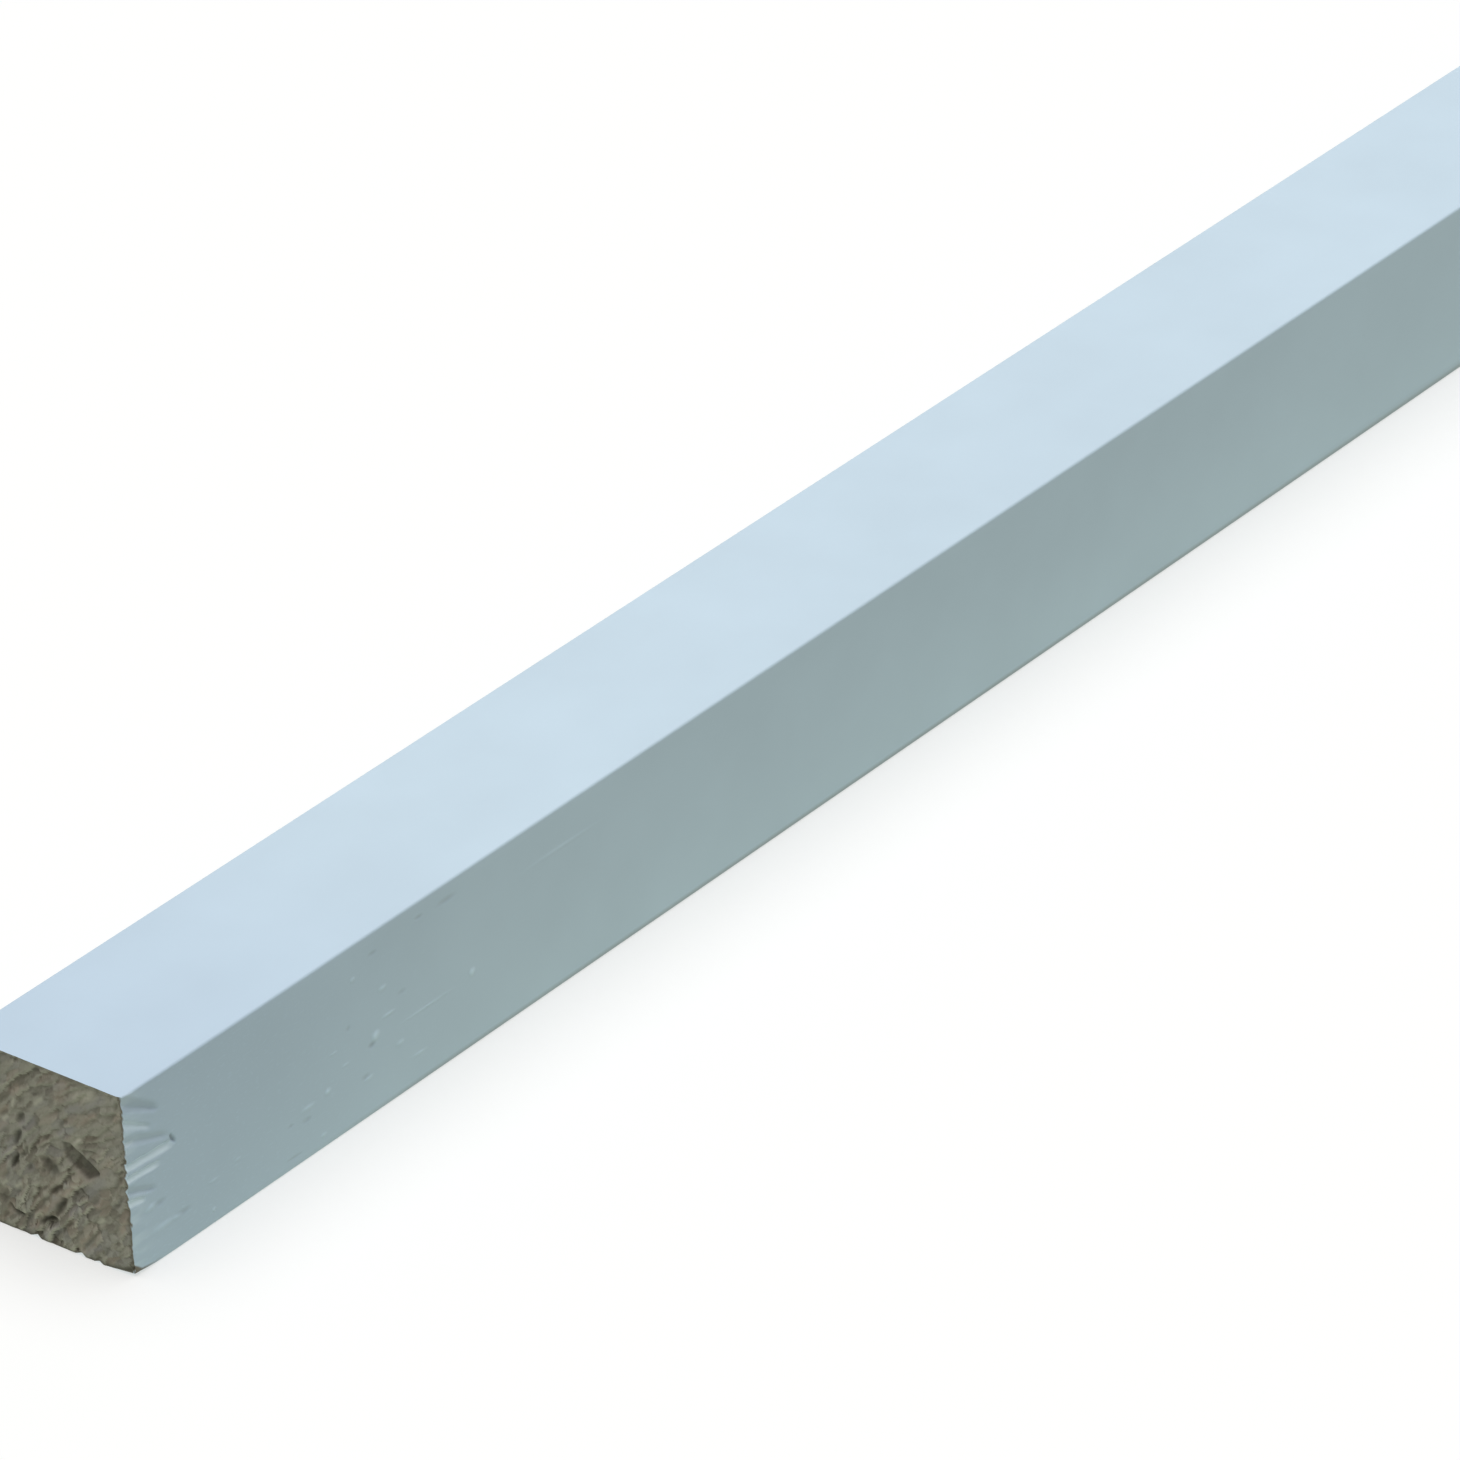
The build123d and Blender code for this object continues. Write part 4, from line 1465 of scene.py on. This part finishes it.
class StudioSettings(bpy.types.PropertyGroup):
    key_strength: number_setting("Key", "Strength of the overhead light", 2.13)
    key_spread: angle_setting("Key spread", "How wide the overhead light is", 70)
    sky_strength: number_setting("Sky", "Strength of the light from all round", 0.33)
    sky_colour: colour_setting("Sky colour", "Tint of the light from all round", "FDFFF8")
    floor_colour: colour_setting("Floor", "Colour of the floor to the camera", "FFFFFF")
    floor_bounce: colour_setting("Floor bounce", "Colour of the light off the floor", "B2BDAD")
    floor_glow: share_setting("Floor glow", "Share of the floor's white that comes through it", 0.5)
    azimuth: angle_setting("Azimuth", "Direction of the camera", -51.59)
    elevation: angle_setting("Elevation", "Height of the camera", 29.63)
    roll: angle_setting("Roll", "Tilt of the camera to one side", -1.88)
    distance: length_setting("Distance", "From the camera to the stick", 0.9591)
    aim_along: length_setting("Aim along", "Aim point, from the torn end", 97.5 * MM)
    aim_up: length_setting("Aim height", "Aim point, above the floor", 16.65 * MM)
    focal_length: number_setting("Focal length", "Of the lens, in mm on a 36 mm sensor", 225.15)


class MOULDING_OT_stick(bpy.types.Operator):
    """Build the painted stick with its torn and its clean sawn end"""

    bl_idname = "moulding.stick"
    bl_label = "Build the stick"

    # Edges that bend more than this stay sharp
    SHARP_BEND = math.radians(50)

    def execute(self, context):
        sizes = context.scene.stick_sizes
        skin = build_stick(
            sizes.length * METRES_TO_MM,
            sizes.width * METRES_TO_MM,
            sizes.height * METRES_TO_MM,
            sizes.arris * METRES_TO_MM,
            sizes.flat_cells,
        )
        # The skin starts at the middle of the torn end, and its second axis points to the front
        low, high = cad_box
        middle = np.array((low[0], (low[1] + high[1]) / 2, (low[2] + high[2]) / 2))
        points = middle + np.array(skin.points) * (MM, -MM, MM)
        mesh = bpy.data.meshes.new("moulding_stick")
        mesh.from_pydata(points.tolist(), [], skin.faces)
        mesh.polygons.foreach_set("material_index", skin.finishes)
        layer = mesh.uv_layers.new(name="OFBake")
        layer.data.foreach_set("uv", np.array(skin.places, float).ravel())
        for name, values in zip(("chalk_and_highlight", "raw_wood_and_shade", *Grain._fields[1:]), np.array(skin.traits).T):
            mesh.attributes.new(name, "FLOAT", "POINT").data.foreach_set("value", values)
        mesh.materials.append(satin_paint_on_softwood(context.scene.paint_finish))
        mesh.materials.append(sawn_softwood_end_grain(context.scene.sawn_finish))
        mesh.shade_smooth()
        mesh.set_sharp_from_angle(angle=self.SHARP_BEND)
        mesh.update()
        stick = bpy.data.objects.new("moulding_stick", mesh)
        context.scene.collection.objects.link(stick)
        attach(stick, "root")
        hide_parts(NODE)
        return {"FINISHED"}


class MOULDING_OT_stage(bpy.types.Operator):
    """Lay the floor, set the lights and place the camera"""

    bl_idname = "moulding.stage"
    bl_label = "Set the stage"

    # Half the side of the floor, and the nearest and farthest that the camera sees, in metres
    FLOOR_HALF = 40.0
    CLIP_NEAR, CLIP_FAR = 0.05, 100.0

    def execute(self, context):
        scene, studio = context.scene, context.scene.studio
        half = self.FLOOR_HALF
        corners = [(-half, -half, 0), (half, -half, 0), (half, half, 0), (-half, half, 0)]
        sheet = bpy.data.meshes.new("studio_floor")
        sheet.from_pydata(corners, [], [(0, 1, 2, 3)])
        sheet.materials.append(studio_floor(studio.floor_colour, studio.floor_bounce, studio.floor_glow))
        floor = bpy.data.objects.new("studio_floor", sheet)
        scene.collection.objects.link(floor)

        scene.world = studio_sky(studio.sky_colour, studio.sky_strength)
        lamp = bpy.data.lights.new("overhead_key", "SUN")
        lamp.energy = studio.key_strength
        lamp.angle = studio.key_spread
        key = bpy.data.objects.new("overhead_key", lamp)
        scene.collection.objects.link(key)

        lens = bpy.data.cameras.new("camera")
        lens.lens = studio.focal_length
        lens.clip_start, lens.clip_end = self.CLIP_NEAR, self.CLIP_FAR
        camera = bpy.data.objects.new("camera", lens)
        aim = Vector((cad_box[0][0] + studio.aim_along, cad_box[0][1], cad_box[0][2] + studio.aim_up))
        azimuth, elevation = studio.azimuth, studio.elevation
        back = Vector(
            (
                math.sin(azimuth) * math.cos(elevation),
                -math.cos(azimuth) * math.cos(elevation),
                math.sin(elevation),
            )
        )
        turn = (-back).to_track_quat("-Z", "Y").to_matrix() @ Matrix.Rotation(studio.roll, 3, "Z")
        camera.matrix_world = Matrix.LocRotScale(aim + back * studio.distance, turn, None)
        scene.collection.objects.link(camera)
        scene.camera = camera
        scene.view_settings.view_transform = "Standard"
        return {"FINISHED"}


class MOULDING_PT_panel(bpy.types.Panel):
    """The moulding's operators and settings"""

    bl_label = "Corner moulding"
    bl_space_type = "VIEW_3D"
    bl_region_type = "UI"
    bl_category = "Moulding"

    def draw(self, context):
        layout = self.layout
        for operator, groups in (
            ("moulding.stick", ("stick_sizes", "paint_finish", "sawn_finish")),
            ("moulding.stage", ("studio",)),
        ):
            layout.operator(operator)
            for group in groups:
                settings = getattr(context.scene, group)
                column = layout.column(align=True)
                for name in settings.bl_rna.properties.keys():
                    if name not in ("rna_type", "name"):
                        column.prop(settings, name)


SETTINGS = {
    "stick_sizes": StickSizes,
    "paint_finish": PaintFinish,
    "sawn_finish": SawnFinish,
    "studio": StudioSettings,
}
CLASSES = (*SETTINGS.values(), MOULDING_OT_stick, MOULDING_OT_stage, MOULDING_PT_panel)


def register():
    for cls in CLASSES:
        bpy.utils.register_class(cls)
    for name, group in SETTINGS.items():
        setattr(bpy.types.Scene, name, PointerProperty(type=group))


def unregister():
    for name in SETTINGS:
        delattr(bpy.types.Scene, name)
    for cls in reversed(CLASSES):
        bpy.utils.unregister_class(cls)


def main():
    register()
    bpy.ops.moulding.stick()
    bpy.ops.moulding.stage()


if __name__ == "__main__":
    main()
